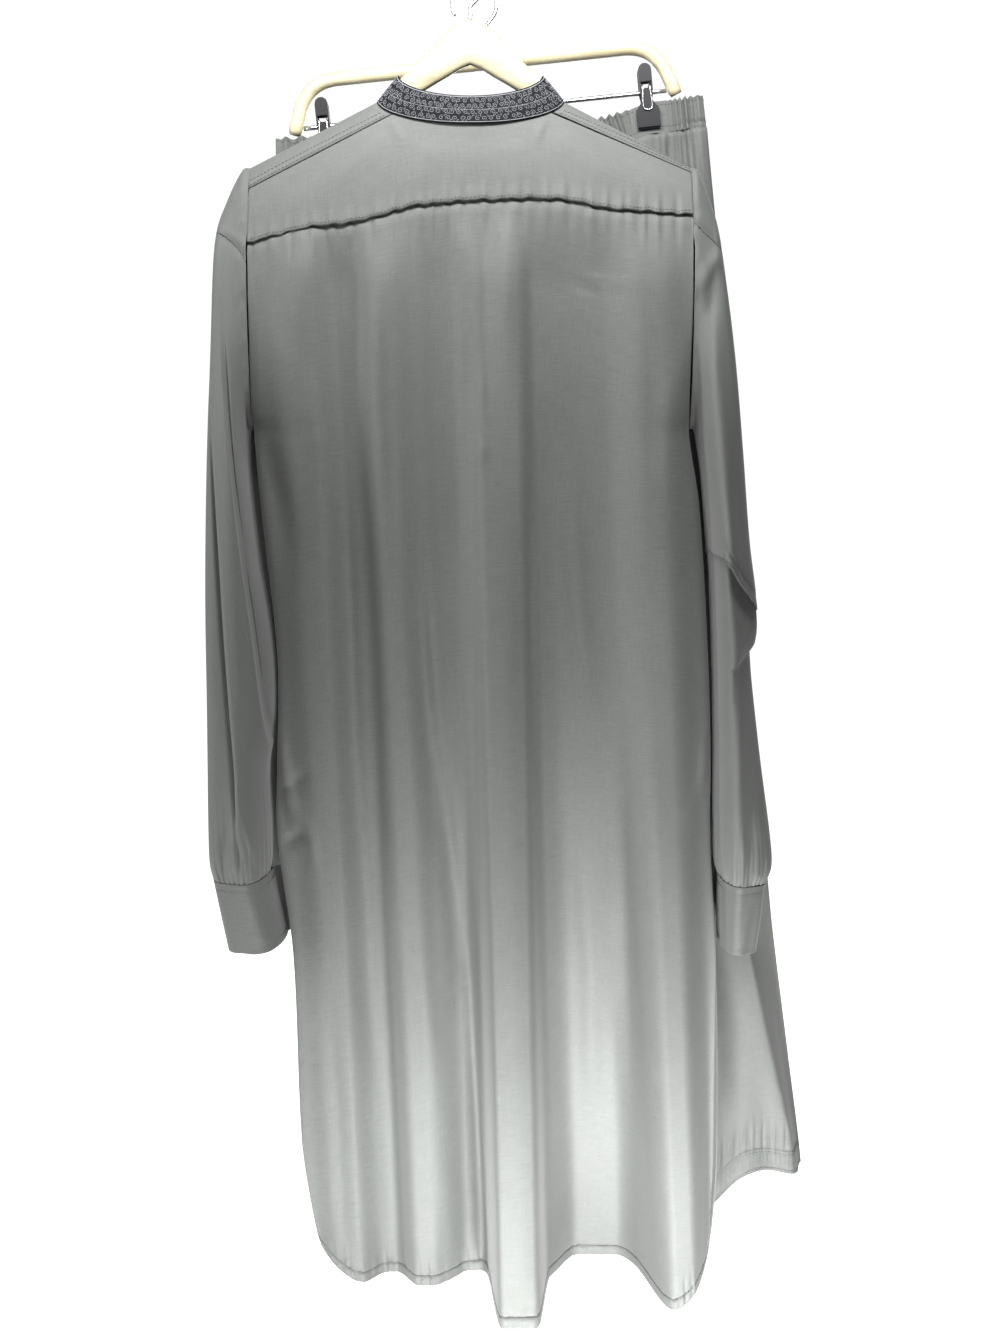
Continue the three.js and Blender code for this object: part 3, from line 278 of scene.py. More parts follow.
def fold_out(folds, x, down):
    """Sum of the folds at x: each is a raised cosine with a flat crest, and it grows with the
    way down to the hem raised to its lateness."""
    out = 0.0
    for top, hem, out_top, out_hem, crest, flank, late in folds:
        away = clamp((np.abs(x - mix(top, hem, down)) - crest) / flank)
        out = out + mix(out_top, out_hem, down ** late) * (0.5 + 0.5 * np.cos(math.pi * away))
    return out


def creased(x, z, creases):
    """Sum of listed creases. Each has a height, a width on its left and on its right as it
    runs, the shares of its length over which it fades in and out, and a line of (x, z) points. The
    height falls off to both sides as a bell."""
    total = np.zeros_like(x)
    for height, left, right, fade, line in creases:
        line = np.array(line, float)
        step = line[1:] - line[:-1]
        lengths = np.hypot(*step.T)
        start = np.concatenate(([0], np.cumsum(lengths)))
        nearest = np.full_like(x, 1e9)
        along, side = np.zeros_like(x), np.zeros_like(x)
        for k, (dx, dz) in enumerate(step):
            away_x, away_z = x - line[k, 0], z - line[k, 1]
            share = clamp((away_x * dx + away_z * dz) / lengths[k] ** 2)
            gap = np.hypot(away_x - share * dx, away_z - share * dz)
            closer = gap < nearest
            nearest = np.where(closer, gap, nearest)
            along = np.where(closer, (start[k] + share * lengths[k]) / start[-1], along)
            side = np.where(closer, dx * away_z - dz * away_x, side)
        width = np.where(side > 0, left, right)
        ends = smooth(along / fade[0]) * smooth((1 - along) / fade[1])
        total += height * ends * bell(nearest, width)
    return total


def body_depth(face, x, z):
    """Distance of the shirt's back or front from the plane of the shoulders, outwards. It goes
    from the arch over the hanger to the hem's depth, with the folds, and closes at the sides."""
    back = face == "back"
    left, right = curve(BODY_LEFT, -z), curve(BODY_RIGHT, -z)
    across = clamp((2 * x - left - right) / (right - left), -1, 1)
    down = clamp((FOLD_TOP - z) / (FOLD_TOP - HEM[face]))
    base = mix(arch_depth(ridge(x) - z), HEM_DEPTH[face], smooth(down))
    low = clamp((SLIT_TOP - z) / SLIT_LENGTH)
    back_open = np.where(across > 0, SLIT_OPEN["back_right"], SLIT_OPEN["back_left"])
    edge = np.maximum(armhole_depth(z), HALF_SEAM) + (back_open if back else SLIT_OPEN["front"]) * low
    inside = (1 - np.abs(across) ** BODY_ROUND) ** (1 / BODY_ROUND)
    out = fold_out(BACK_FOLDS if back else FRONT_FOLDS, x, down) * smooth((FOLD_TOP - z) / FOLD_FADE)
    return edge + (base + out - edge) * inside


def panel_x(folds, column, z):
    """Place of a column of a panel at a height. Columns follow the sides of the folds' crests,
    which are the panel's knots, and are shared out evenly between them."""
    down = clamp((FOLD_TOP - z) / (FOLD_TOP - HEM["back"]))
    knots = [curve(BODY_LEFT, -z)]
    for top, hem, _, _, crest, _, _ in folds:
        knots += [mix(top, hem, down) - crest, mix(top, hem, down) + crest]
    knots = np.array([*knots, curve(BODY_RIGHT, -z)])
    low = np.clip(np.floor(column).astype(int), 0, len(knots) - 2)[None]
    first, second = (np.take_along_axis(knots, low + k, 0)[0] for k in (0, 1))
    return mix(first, second, column - low[0])


def hem_height(folds, column, face):
    """Height of the hem, which rises in a quarter circle at both corners."""
    low = np.full(column.shape, float(HEM[face]))
    x = panel_x(folds, column, low)
    to_edge = np.minimum(x - curve(BODY_LEFT, -low), curve(BODY_RIGHT, -low) - x)
    short = clamp(CORNER_RADIUS - to_edge, 0, CORNER_RADIUS)
    return HEM[face] + CORNER_RADIUS - np.sqrt(np.maximum(CORNER_RADIUS ** 2 - short ** 2, 0))


BACK_CREASES = [
    (3.2, 12, 12, (0.3, 0.6), [(-140, -225), (-146, -300), (-146, -380)]),
    (2.6, 10, 12, (0.3, 0.5), [(-76, -225), (-82, -377), (-75, -560)]),
    (-3.4, 10, 14, (0.3, 0.4), [(-112, -400), (-109, -560), (-108, -830)]),
    (-3.6, 8, 11, (0.25, 0.1), [(-57, -440), (-40, -640), (-2, -907), (16, -1190)]),
    (2.8, 12, 10, (0.3, 0.4), [(-30, -470), (-27, -600), (-8, -900)]),
    (2.2, 8, 8, (0.2, 0.7), [(-5, -212), (-6, -300), (-8, -430)]),
    (2.2, 8, 8, (0.2, 0.7), [(30, -208), (30, -300), (33, -420)]),
    (-1.5, 6, 6, (0.2, 0.7), [(12, -212), (12, -300), (14, -420)]),
    (-4.4, 2.6, 15, (0.3, 0.1), [(48, -372), (51, -548), (54, -726), (59, -908), (67, -1190)]),
    (2.4, 10, 12, (0.4, 0.4), [(83, -400), (88, -500), (106, -680)]),
    (-2.6, 14, 12, (0.4, 0.4), [(144, -430), (150, -560), (160, -740)]),
    (0.9, 1.6, 2.6, (0.25, 0.25), [(24, -275), (93, -277), (162, -281)]),
    (-0.8, 3.0, 2.0, (0.25, 0.25), [(24, -279), (93, -281), (162, -285)]),
    (1.0, 2.4, 1.8, (0.3, 0.3), [(3, -432), (9, -424), (14, -412)]),
    (0.8, 2.0, 2.0, (0.3, 0.3), [(16, -432), (10, -424), (7, -418)]),
    (0.7, 2.0, 2.6, (0.4, 0.4), [(13, -340), (9, -375), (14, -405)]),
    (0.7, 2.0, 2.0, (0.4, 0.4), [(5, -368), (14, -372), (19, -366)]),
    (2.6, 6, 9, (0.3, 0.5), [(-176, -660), (-166, -705), (-150, -768)]),
    (-1.8, 5, 6, (0.3, 0.5), [(-178, -690), (-170, -725), (-160, -775)]),
    (2.0, 5, 7, (0.3, 0.5), [(-172, -718), (-158, -738), (-140, -754)]),
    (1.6, 4, 6, (0.4, 0.5), [(-152, -725), (-141, -760), (-138, -800)]),
    (2.2, 5, 5, (0.4, 0.4), [(214, -655), (207, -690), (203, -725)]),
    (1.8, 4, 6, (0.4, 0.4), [(213, -700), (200, -722), (186, -752)]),
    (-3.6, 2.4, 8, (0.5, 0.1), [(2, -900), (9, -1090), (14, -1190)]),
    (-2.2, 2.6, 6, (0.2, 0.3), [(-173, -721), (-158, -712), (-142, -697)]),
    (-2.2, 2.6, 6, (0.2, 0.3), [(-174, -771), (-162, -764), (-147, -750)]),
    (1.8, 12, 14, (0.4, 0.5), [(-186, -300), (-168, -380), (-150, -500)]),
    (-1.6, 10, 10, (0.4, 0.5), [(-186, -380), (-164, -470), (-150, -560)]),
    (1.6, 12, 12, (0.4, 0.5), [(186, -300), (170, -390), (166, -520)]),
    (2.0, 9, 9, (0.4, 0.3), [(-100, -900), (-90, -1020), (-84, -1190)]),
    (-2.2, 8, 8, (0.4, 0.3), [(-135, -860), (-124, -1000), (-116, -1190)]),
    (2.4, 10, 8, (0.4, 0.3), [(-44, -820), (-30, -1000), (-22, -1190)]),
    (-1.8, 8, 8, (0.4, 0.4), [(-20, -700), (0, -860), (10, -1010)]),
    (2.2, 9, 9, (0.4, 0.4), [(120, -700), (132, -900), (150, -1100)]),
    (-2.0, 9, 9, (0.4, 0.4), [(96, -720), (108, -900), (112, -1090)]),
]


def ripple(along, length, seed):
    """Uneven gathers along a seam: sines of three lengths whose phases drift."""
    phase = 2 * math.pi * along / length + 1.7 * np.sin(along / (2.3 * length) + seed)
    return 0.6 * np.sin(phase) + 0.3 * np.sin(1.73 * phase + seed) + 0.3 * np.sin(0.41 * phase - seed)


def hem_shape(to_edge, along, seed):
    """A narrow turned hem at a distance from its edge: a thicker band, a groove along its
    stitching, puckers that fade out from it, and a crimped middle."""
    band = HEM_STEP * smooth((HEM_BAND + HEM_BEND / 2 - to_edge) / HEM_BEND)
    groove = HEM_GROOVE * bell(to_edge - HEM_BAND, HEM_GROOVE_WIDTH)
    pucker = bell(to_edge - HEM_BAND, HEM_PUCKER_REACH) * ripple(along, HEM_PUCKER_LENGTH, seed)
    crimp = bell(to_edge - 0.5 * HEM_BAND, HEM_CRIMP_REACH) * ripple(along, HEM_CRIMP_LENGTH, seed + 1)
    return band - groove + pucker + HEM_CRIMP * crimp


def body_inset(x, z):
    """Goes from 0 on the body's side edges to 1 a short way in, so that creases end at seams."""
    left, right = curve(BODY_LEFT, -z), curve(BODY_RIGHT, -z)
    return smooth(np.minimum(x - left, right - x) / SIDE_INSET)


def back_depth(x, z):
    """The back panel's distance outwards, with its creases, and with puckers and a groove under
    the yoke."""
    under = curve(YOKE_SEAM, x) - z
    fading = bell(under, BACK_PUCKER_REACH) * smooth(under / 3)
    pucker = BACK_PUCKER * ripple(x, PUCKER_LENGTH, PUCKER_SEED) * fading
    groove = BACK_GROOVE * (1 - smooth((under - 1) / 4))
    creases = BACK_CREASE_GAIN * creased(x, z, BACK_CREASES) * body_inset(x, z)
    return body_depth("back", x, z) + creases + pucker - groove


def panel_columns(folds, per_span):
    """Columns shared out evenly over a panel's spans, and crowded towards its two edges."""
    last = 2 * len(folds) + 1
    even = np.linspace(0, last, last * per_span + 1)
    edge = np.array([0.004, 0.015, 0.03, 0.05])
    return np.unique(np.concatenate([even, edge, last - edge]))


def top_places(folds, columns):
    """Places of a panel's columns at the height where its folds begin."""
    return panel_x(folds, columns[:, None], np.full((len(columns), 1), float(FOLD_TOP)))[:, 0]


def edge_run(x, z, row):
    """How far each column's point lies along an edge row of a panel."""
    return np.cumsum(np.hypot(np.gradient(x[:, row]), np.gradient(z[:, row])))[:, None]


def hung_grid(folds, face, columns, rows, top):
    """Points of a hanging panel: each column runs from its top to the hem."""
    column = np.broadcast_to(columns[:, None], (len(columns), len(rows)))
    z = mix(np.broadcast_to(top[:, None], column.shape), hem_height(folds, column, face), rows[None, :])
    return panel_x(folds, column, z), z


def grid_corners(count, depth, ring):
    """Columns and rows of the four corners of each face of a grid. A ring joins its last column to
    its first."""
    i, j = np.meshgrid(np.arange(count if ring else count - 1), np.arange(depth - 1), indexing="ij")
    return [(i, j), (i, j + 1), (i + 1, j + 1), (i + 1, j)]


def grid_faces(count, depth, ring):
    """Four-sided faces between the columns and rows of a grid."""
    corners = grid_corners(count, depth, ring)
    return np.stack([(a % count) * depth + b for a, b in corners], -1).reshape(-1, 4)


def sheet_mesh(name, grid, finish, ring=False, flip=False, keep=None, wall=CLOTH_WALL):
    """Cloth from a grid of points: four-sided faces, of which some may be left out, a UV map in
    metres along and across the cloth, and a wall about the middle surface."""
    count, depth = grid.shape[:2]
    lengths = np.linalg.norm(np.diff(np.concatenate([grid, grid[:1]]), axis=0), axis=2)
    across = np.concatenate([np.zeros((1, depth)), np.cumsum(lengths, axis=0)])
    drops = np.linalg.norm(np.diff(grid, axis=1), axis=2)
    along = np.concatenate([np.zeros((count, 1)), np.cumsum(drops, axis=1)], axis=1)
    corners, faces = grid_corners(count, depth, ring), grid_faces(count, depth, ring)
    weave = np.stack([np.stack([across[a, b], along[a % count, b]], -1) for a, b in corners], 2)
    weave = weave.reshape(-1, 4, 2)
    if keep is not None:
        kept = keep(*corners[0]).ravel()
        faces, weave = faces[kept], weave[kept]
    if flip:
        faces, weave = faces[:, ::-1], weave[:, ::-1]
    piece = piece_from(name, grid.reshape(-1, 3), [faces], finish)
    layer = piece.data.uv_layers.new(name="UVMap")
    layer.data.foreach_set("uv", (weave * MM).ravel())
    solid = piece.modifiers.new("wall", "SOLIDIFY")
    solid.thickness = wall * MM
    solid.offset = 0
    return piece


def piece_from(name, points, groups, finish):
    """A smooth-shaded piece from points in millimetres and groups of faces, each group of one
    number of sides. Points that no face uses are left out."""
    corners = np.concatenate([group.ravel() for group in groups])
    used, corners = np.unique(corners, return_inverse=True)
    sizes = np.concatenate([np.full(len(group), group.shape[1]) for group in groups])
    starts = np.concatenate([[0], np.cumsum(sizes)[:-1]])
    mesh = bpy.data.meshes.new(name)
    mesh.vertices.add(len(used))
    mesh.vertices.foreach_set("co", (np.asarray(points)[used] * MM).ravel())
    mesh.loops.add(len(corners))
    mesh.loops.foreach_set("vertex_index", corners.astype(np.int32))
    mesh.polygons.add(len(sizes))
    mesh.polygons.foreach_set("loop_start", starts.astype(np.int32))
    mesh.polygons.foreach_set("use_smooth", np.ones(len(sizes), dtype=bool))
    mesh.update(calc_edges=True)
    mesh.validate()
    mesh.materials.append(finish)
    piece = bpy.data.objects.new(name, mesh)
    bpy.context.scene.collection.objects.link(piece)
    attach(piece, "root")
    return piece


def cloth_finish(name, dark, light):
    """Plain-woven cloth: uneven threads both ways, a fine weave, and small soft wrinkles."""
    finish = Finish(name)
    place = finish.woven_place()
    weft = finish.noise(place, 1.0, 3.0, (60, 1400, 1))
    warp = finish.noise(place, 1.0, 3.0, (1400, 60, 1))
    cloudy = finish.noise(place, 9.0, 2.0)
    threads = weft * 0.5 + warp * 0.35 + cloudy * 0.15
    crumple = finish.noise(place, 34.0, 3.0, (1.0, 0.6, 1))
    height = threads * 0.35 + crumple
    shade = finish.node("ShaderNodeMapRange", (), {0: threads, 1: 0.3, 2: 0.7, 3: 0.0, 4: 1.0})
    return finish.surface(Base_Color=finish.mixed(shade, dark, light), Roughness=threads * 0.2 + 0.6,
                          Sheen_Weight=0.12, Sheen_Roughness=0.4, Specular_IOR_Level=0.35,
                          Normal=finish.bump(height, 0.0009, 0.5))


GREY_CLOTH = cloth_finish("grey_cloth", (0.062, 0.0650, 0.0618), (0.100, 0.1045, 0.0990))

columns = panel_columns(BACK_FOLDS, 13)
rows = np.unique(np.concatenate([SEAM_ROWS, np.linspace(0.01, 1, 170), 1 - np.array(BACK_HEM_ROWS)]))
top = curve(YOKE_SEAM, top_places(BACK_FOLDS, columns)) + YOKE_TUCK
x, z = hung_grid(BACK_FOLDS, "back", columns, rows, top)
depth = back_depth(x, z) + hem_shape(z - z[:, -1:], edge_run(x, z, -1), 0.4)
back_grid = np.stack([x, -depth, z], -1)
back = sheet_mesh("kameez_back_cloth", back_grid, GREY_CLOTH)
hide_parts("kameez_back")

# ------------------------------------------------------------------ kameez: yoke
# The double-layered yoke across the shoulders, of the same cloth. Its lower edge laps over the
# back panel and is stitched down, which puckers both, and its upper edge meets the shoulder seams.

NECK_HALF, NECK_SIDE = 78, -124
NECK_DROP = {"back": 24, "front": 30}
YOKE_COLUMNS, YOKE_ROWS, YOKE_WAVE, YOKE_PUCKER, YOKE_LAP = 220, 48, 0.9, 1.2, 1.2
YOKE_CREASES = [
    (1.3, 12, 16, (0.3, 0.5), [(-64, -150), (-96, -176), (-140, -222)]),
    (-1.0, 10, 12, (0.3, 0.4), [(-84, -148), (-120, -178), (-168, -214)]),
    (1.2, 10, 14, (0.3, 0.5), [(60, -150), (92, -168), (140, -206)]),
    (-0.9, 9, 10, (0.3, 0.4), [(86, -146), (120, -168), (170, -196)]),
    (-1.0, 26, 12, (0.4, 0.4), [(-58, -150), (0, -160), (58, -149)]),
    (0.9, 9, 9, (0.3, 0.4), [(-30, -158), (-40, -184), (-44, -214)]),
    (0.8, 9, 9, (0.3, 0.4), [(34, -158), (42, -182), (44, -209)]),
    (0.8, 3, 4, (0.3, 0.5), [(-68, -140), (-60, -158), (-56, -172)]),
    (0.8, 3, 4, (0.3, 0.5), [(66, -139), (58, -156), (55, -170)]),
]


def neckline(x, face):
    """Height of the neckline: half an ellipse below the sides of the neck."""
    return NECK_SIDE - NECK_DROP[face] * np.sqrt(1 - clamp(np.abs(x) / NECK_HALF) ** 2)


def shoulder_seam_drop(x):
    """Drop of the shoulder seam below the shoulder line, on the back of the shoulder."""
    return np.where(x < 0, 20.0, mix(18.0, 5.0, clamp((x - 64) / (ARMHOLE_X - 64))))


def yoke_depth(x, z):
    """The yoke's distance outwards: the arch over the hanger, creases, and a lapped lower edge."""
    over = z - curve(YOKE_SEAM, x)
    pucker = YOKE_PUCKER * ripple(x, PUCKER_LENGTH, PUCKER_SEED) * bell(over, 12)
    lap = YOKE_LAP * bell(over, 9)
    return arch_depth(ridge(x) - z) + creased(x, z, YOKE_CREASES) + pucker + lap


x = np.linspace(-ARMHOLE_X, ARMHOLE_X, YOKE_COLUMNS)[:, None]
rows = np.linspace(0, 1, YOKE_ROWS)[None, :]
top_drop = shoulder_seam_drop(x) + 1.0
top_drop = np.where(np.abs(x) > NECK_HALF, top_drop, np.maximum(ridge(x) - neckline(x, "back"), top_drop))
drop = mix(ridge(x) - curve(YOKE_SEAM, x) + 0.2, top_drop, 1 - (1 - rows) ** 1.4)
z = ridge(x) - drop - YOKE_WAVE * ripple(x, 19, 2.0) * (1 - rows) ** 6
x = np.broadcast_to(x, z.shape)
yoke_grid = np.stack([x, -yoke_depth(x, z), z], -1)
yoke = sheet_mesh("kameez_yoke_cloth", yoke_grid, GREY_CLOTH, flip=True)
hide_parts("kameez_yoke")

# ------------------------------------------------------------------ kameez: front and placket
# The front, cut in one piece from the hem over the shoulders to the shoulder seams, with a stitched
# placket strip and three polished buttons down from the neck.

# Closer rows at the hem, as shares of the way up, and closer columns beside the armholes.
FRONT_HEM_ROWS, SHOULDER_END_COLUMNS = [0.003, 0.0065, 0.0085, 0.0105, 0.013], [4, 2.5, 1.2, 0.5, 0]
FRONT_FOLDS = [(-150, -128, 4, 9, 6, 30, 1), (-96, -66, -4, -7, 6, 24, 1),
               (-44, -14, 3, 9, 6, 24, 1.5), (44, 56, 3, -6, 6, 24, 1.5),
               (98, 120, 4, 10, 14, 30, 1), (150, 178, -3, -6, 6, 24, 1)]
FRONT_CREASES = [
    (2.4, 12, 12, (0.3, 0.5), [(-120, -240), (-124, -360), (-118, -520)]),
    (-2.2, 10, 12, (0.3, 0.4), [(-70, -300), (-66, -480), (-60, -760)]),
    (2.6, 10, 12, (0.3, 0.4), [(70, -320), (80, -520), (96, -800)]),
    (-2.4, 12, 10, (0.3, 0.4), [(120, -400), (132, -640), (140, -900)]),
    (2.2, 9, 12, (0.4, 0.4), [(-30, -560), (-14, -800), (4, -1100)]),
    (2.0, 6, 9, (0.3, 0.5), [(-176, -660), (-160, -715), (-138, -768)]),
    (2.0, 6, 8, (0.3, 0.5), [(213, -670), (198, -720), (180, -765)]),
]


def front_depth(x, z):
    """The front's distance outwards, with its creases."""
    return body_depth("front", x, z) + creased(x, z, FRONT_CREASES) * body_inset(x, z)


def arch_turn(drop):
    """Turn about the shoulder arch at a drop below the shoulder line."""
    return np.arccos(1 - clamp(drop / ARCH_DROP))


def neck_edge(drop):
    """Where the back neckline crosses the cloth at a drop below the shoulder line."""
    tries = np.linspace(0, NECK_HALF, 4000)
    under = ridge(tries) - neckline(tries, "back")
    return np.interp(drop, under[::-1], tries[::-1]) + np.minimum(drop, 1) * 2 * HALF_SEAM


inner = NECK_HALF * np.sin(np.linspace(-math.pi / 2, math.pi / 2, 75))
outer = np.linspace(NECK_HALF, ARMHOLE_X - 6, 30)[1:]
outer = np.concatenate([outer, ARMHOLE_X - np.array(SHOULDER_END_COLUMNS)])
chest_x = np.concatenate([-outer[::-1], inner, outer])
knots = np.arange(2 * len(FRONT_FOLDS) + 2, dtype=float)
column = np.interp(chest_x, top_places(FRONT_FOLDS, knots), knots)
chest = chest_x[:, None]
hang = np.unique(np.concatenate([np.linspace(0, 1, 100), FRONT_HEM_ROWS]))[None, :]
full = np.broadcast_to(column[:, None], (len(column), hang.shape[1]))
z = mix(hem_height(FRONT_FOLDS, full, "front"), ridge(chest) - ARCH_DROP, hang)
x = panel_x(FRONT_FOLDS, full, z)
hung = np.stack([x, front_depth(x, z) + hem_shape(z - z[:, :1], edge_run(x, z, 0), 2.2), z], -1)
beside = np.abs(chest) >= NECK_HALF - 1e-6
top_turn = arch_turn(np.where(beside, 0.0, ridge(chest) - neckline(chest, "front") + 0.35))
turn = mix(math.pi / 2, top_turn, np.linspace(0, 1, 26)[None, 1:])
z = ridge(chest) - ARCH_DROP * (1 - np.cos(turn))
x = np.broadcast_to(chest, z.shape)
arch = np.stack([x, np.maximum(SHOULDER_HALF_DEPTH * np.sin(turn), front_depth(x, z)), z], -1)
to_neck = clamp((ARMHOLE_X - np.abs(chest)) / (ARMHOLE_X - NECK_HALF))
turn = arch_turn(shoulder_seam_drop(chest)) * np.linspace(0, 1, 13)[None, 1:]
shift = (NECK_HALF - neck_edge(ARCH_DROP * (1 - np.cos(turn)))) * to_neck
x = np.sign(chest) * (np.abs(chest) - shift)
flap = np.stack([x, -SHOULDER_HALF_DEPTH * np.sin(turn), ridge(x) - ARCH_DROP * (1 - np.cos(turn))], -1)
first_flap = hung.shape[1] + arch.shape[1] - 1
is_beside = beside[:, 0]


def beside_neck(column, row):
    """True for faces up to the shoulder line, and for those beyond it that lie beside the neck."""
    one_side = np.sign(chest_x[column]) == np.sign(chest_x[column + 1])
    return (row < first_flap) | (is_beside[column] & is_beside[column + 1] & one_side)


front_grid = np.concatenate([hung, arch, flap], axis=1)
front = sheet_mesh("kameez_front_cloth", front_grid, GREY_CLOTH, keep=beside_neck)
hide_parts("kameez_front")

PLACKET_HALF, PLACKET_FOOT, PLACKET_OUT, PLACKET_GROOVE, BUTTON_OUT = 16, -562, 1.3, 0.35, 3.3
x = np.linspace(-PLACKET_HALF, PLACKET_HALF, 24)[:, None]
z = mix(neckline(x, "front") - 1.5, PLACKET_FOOT, np.linspace(0, 1, 80)[None, :])
x = np.broadcast_to(x, z.shape)
edge = np.minimum(PLACKET_HALF - np.abs(x), z - PLACKET_FOOT)
placket_y = np.maximum(arch_depth(ridge(x) - z), front_depth(x, z)) + PLACKET_OUT
placket_y = placket_y - PLACKET_GROOVE * bell(edge - 3, 1.0)
placket = sheet_mesh("kameez_placket_cloth", np.stack([x, placket_y, z], -1), GREY_CLOTH, flip=True)
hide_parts("kameez_placket")

BUTTON_HEIGHTS = (-200, -300, -400)
# Radius and height of the button's outline, from the middle of its face round to its back.
BUTTON_OUTLINE = [(0.01, 0.7), (2.6, 0.7), (3.3, 0.9), (4.0, 1.25), (4.8, 1.3), (5.3, 1.0), (5.5, 0.4),
                  (5.4, -0.3), (4.6, -0.9), (3.0, -1.1), (0.01, -1.1)]


def turned(outline, sides):
    """A shape turned about +Y from an outline of (radius, height) points."""
    around = np.linspace(0, 2 * math.pi, sides, endpoint=False)[:, None]
    radius, height = np.array(outline, float).T
    return np.stack([radius * np.cos(around), np.broadcast_to(height, (sides, len(height))),
                     radius * np.sin(around)], -1)


def facing_out(piece, merge=0.02):
    """Merges doubled points, and turns the faces of a closed piece outwards."""
    shape = bmesh.new()
    shape.from_mesh(piece.data)
    bmesh.ops.remove_doubles(shape, verts=shape.verts, dist=merge * MM)
    bmesh.ops.recalc_face_normals(shape, faces=shape.faces)
    shape.to_mesh(piece.data)
    shape.free()
    return piece


def speckled_finish(name, dark, light, scale, rough, detail=2.0, relief=None, **sockets):
    """A finish with one fine noise over the piece: in its colour, in its roughness, which is a
    share of the noise and a base, and in its relief, which is a distance in metres and a strength."""
    finish = Finish(name)
    speckle = finish.noise(finish.place(), scale, detail)
    share, base = rough
    if relief:
        sockets["Normal"] = finish.bump(speckle, *relief)
    return finish.surface(Base_Color=finish.mixed(speckle, dark, light),
                          Roughness=speckle * share + base if share else base, **sockets)


POLISHED_BUTTON = speckled_finish("polished_button", (0.030, 0.033, 0.033), (0.075, 0.080, 0.079),
                                  240, (0.1, 0.22), detail=3.0)
for number, height in enumerate(BUTTON_HEIGHTS, 1):
    grid = turned(BUTTON_OUTLINE, 28)
    seat = front_depth(np.zeros((1, 1)), np.full((1, 1), float(height)))[0, 0] + BUTTON_OUT
    points = (grid + [0, seat, height]).reshape(-1, 3)
    button = facing_out(piece_from(f"placket_button_turned_{number}", points,
                                   [grid_faces(*grid.shape[:2], True)], POLISHED_BUTTON))
    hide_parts(f"placket_button_{number}")

# ------------------------------------------------------------------ kameez: collar
# A stiff band collar of near-black cloth, closely embroidered in pale thread: four rows of small
# scrolls, with a cord along their middle and each edge. It stands on the neckline and leans in.

# The collar's upper edge: half its width, the height of its sides, and how much lower and how far
# out its middle lies at the back and at the front.
COLLAR = {"half": 61, "side": -103, "back_drop": 22, "front_drop": 26, "back_depth": 23, "front_depth": 25}
COLLAR_SQUARE, COLLAR_OPENING, COLLAR_WALL, COLLAR_HEIGHT, COLLAR_CROWDING = 0.6, 0.012, 1.5, 25.0, 0.32
# How far the band swells at mid height and flares at its foot, and its mean half width and depth.
COLLAR_SWELL, COLLAR_FLARE, COLLAR_MEAN_HALF, COLLAR_MEAN_DEPTH = 0.9, 1.3, 80, 26


def collar_place(turn, row):
    """Middle surface of the collar: from the neckline to an upper edge that is a smaller, squarer
    ring, lower at the back and at the front than at the sides."""
    front, side, deep = np.cos(turn) > 0, -np.sin(turn), np.abs(np.cos(turn))
    low_x = side * NECK_HALF
    low_z = np.where(front, neckline(low_x, "front"), neckline(low_x, "back"))
    low_y = arch_depth(ridge(low_x) - low_z)
    high_z = COLLAR["side"] - deep * np.where(front, COLLAR["front_drop"], COLLAR["back_drop"])
    high_y = deep ** COLLAR_SQUARE * np.where(front, COLLAR["front_depth"], COLLAR["back_depth"])
    y = np.where(front, 1, -1) * mix(low_y, high_y, row)
    out = COLLAR_SWELL * np.sin(math.pi * row) + COLLAR_FLARE * (1 - row)
    x = mix(low_x, side * COLLAR["half"], row) * (1 + out / COLLAR_MEAN_HALF)
    return np.stack([x, y * (1 + out / COLLAR_MEAN_DEPTH), mix(low_z - 0.6, high_z, row)], -1)


def crowded(count):
    """Turns round the collar, closer together where its ring bends at the sides."""
    even = np.linspace(0, 2 * math.pi, count)
    turn = even - COLLAR_CROWDING * np.sin(2 * even + math.pi)
    return mix(COLLAR_OPENING, 2 * math.pi - COLLAR_OPENING, turn / (2 * math.pi))


collar_finish = Finish("dark_collar_cloth")
ribs = collar_finish.noise(collar_finish.woven_place(), 1.0, 2.0, (1500, 300, 1))
collar_finish.surface(Base_Color=collar_finish.mixed(ribs, (0.004, 0.004, 0.005), (0.009, 0.009, 0.011)),
                      Roughness=ribs * 0.2 + 0.7, Specular_IOR_Level=0.12,
                      Normal=collar_finish.bump(ribs, 0.0006, 0.6))
turns = crowded(300)
collar_grid = collar_place(turns[:, None], np.linspace(0, 1, 12)[None, :])
collar = sheet_mesh("kameez_collar_band", collar_grid, collar_finish.owner, flip=True, wall=COLLAR_WALL)
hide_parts("kameez_collar")


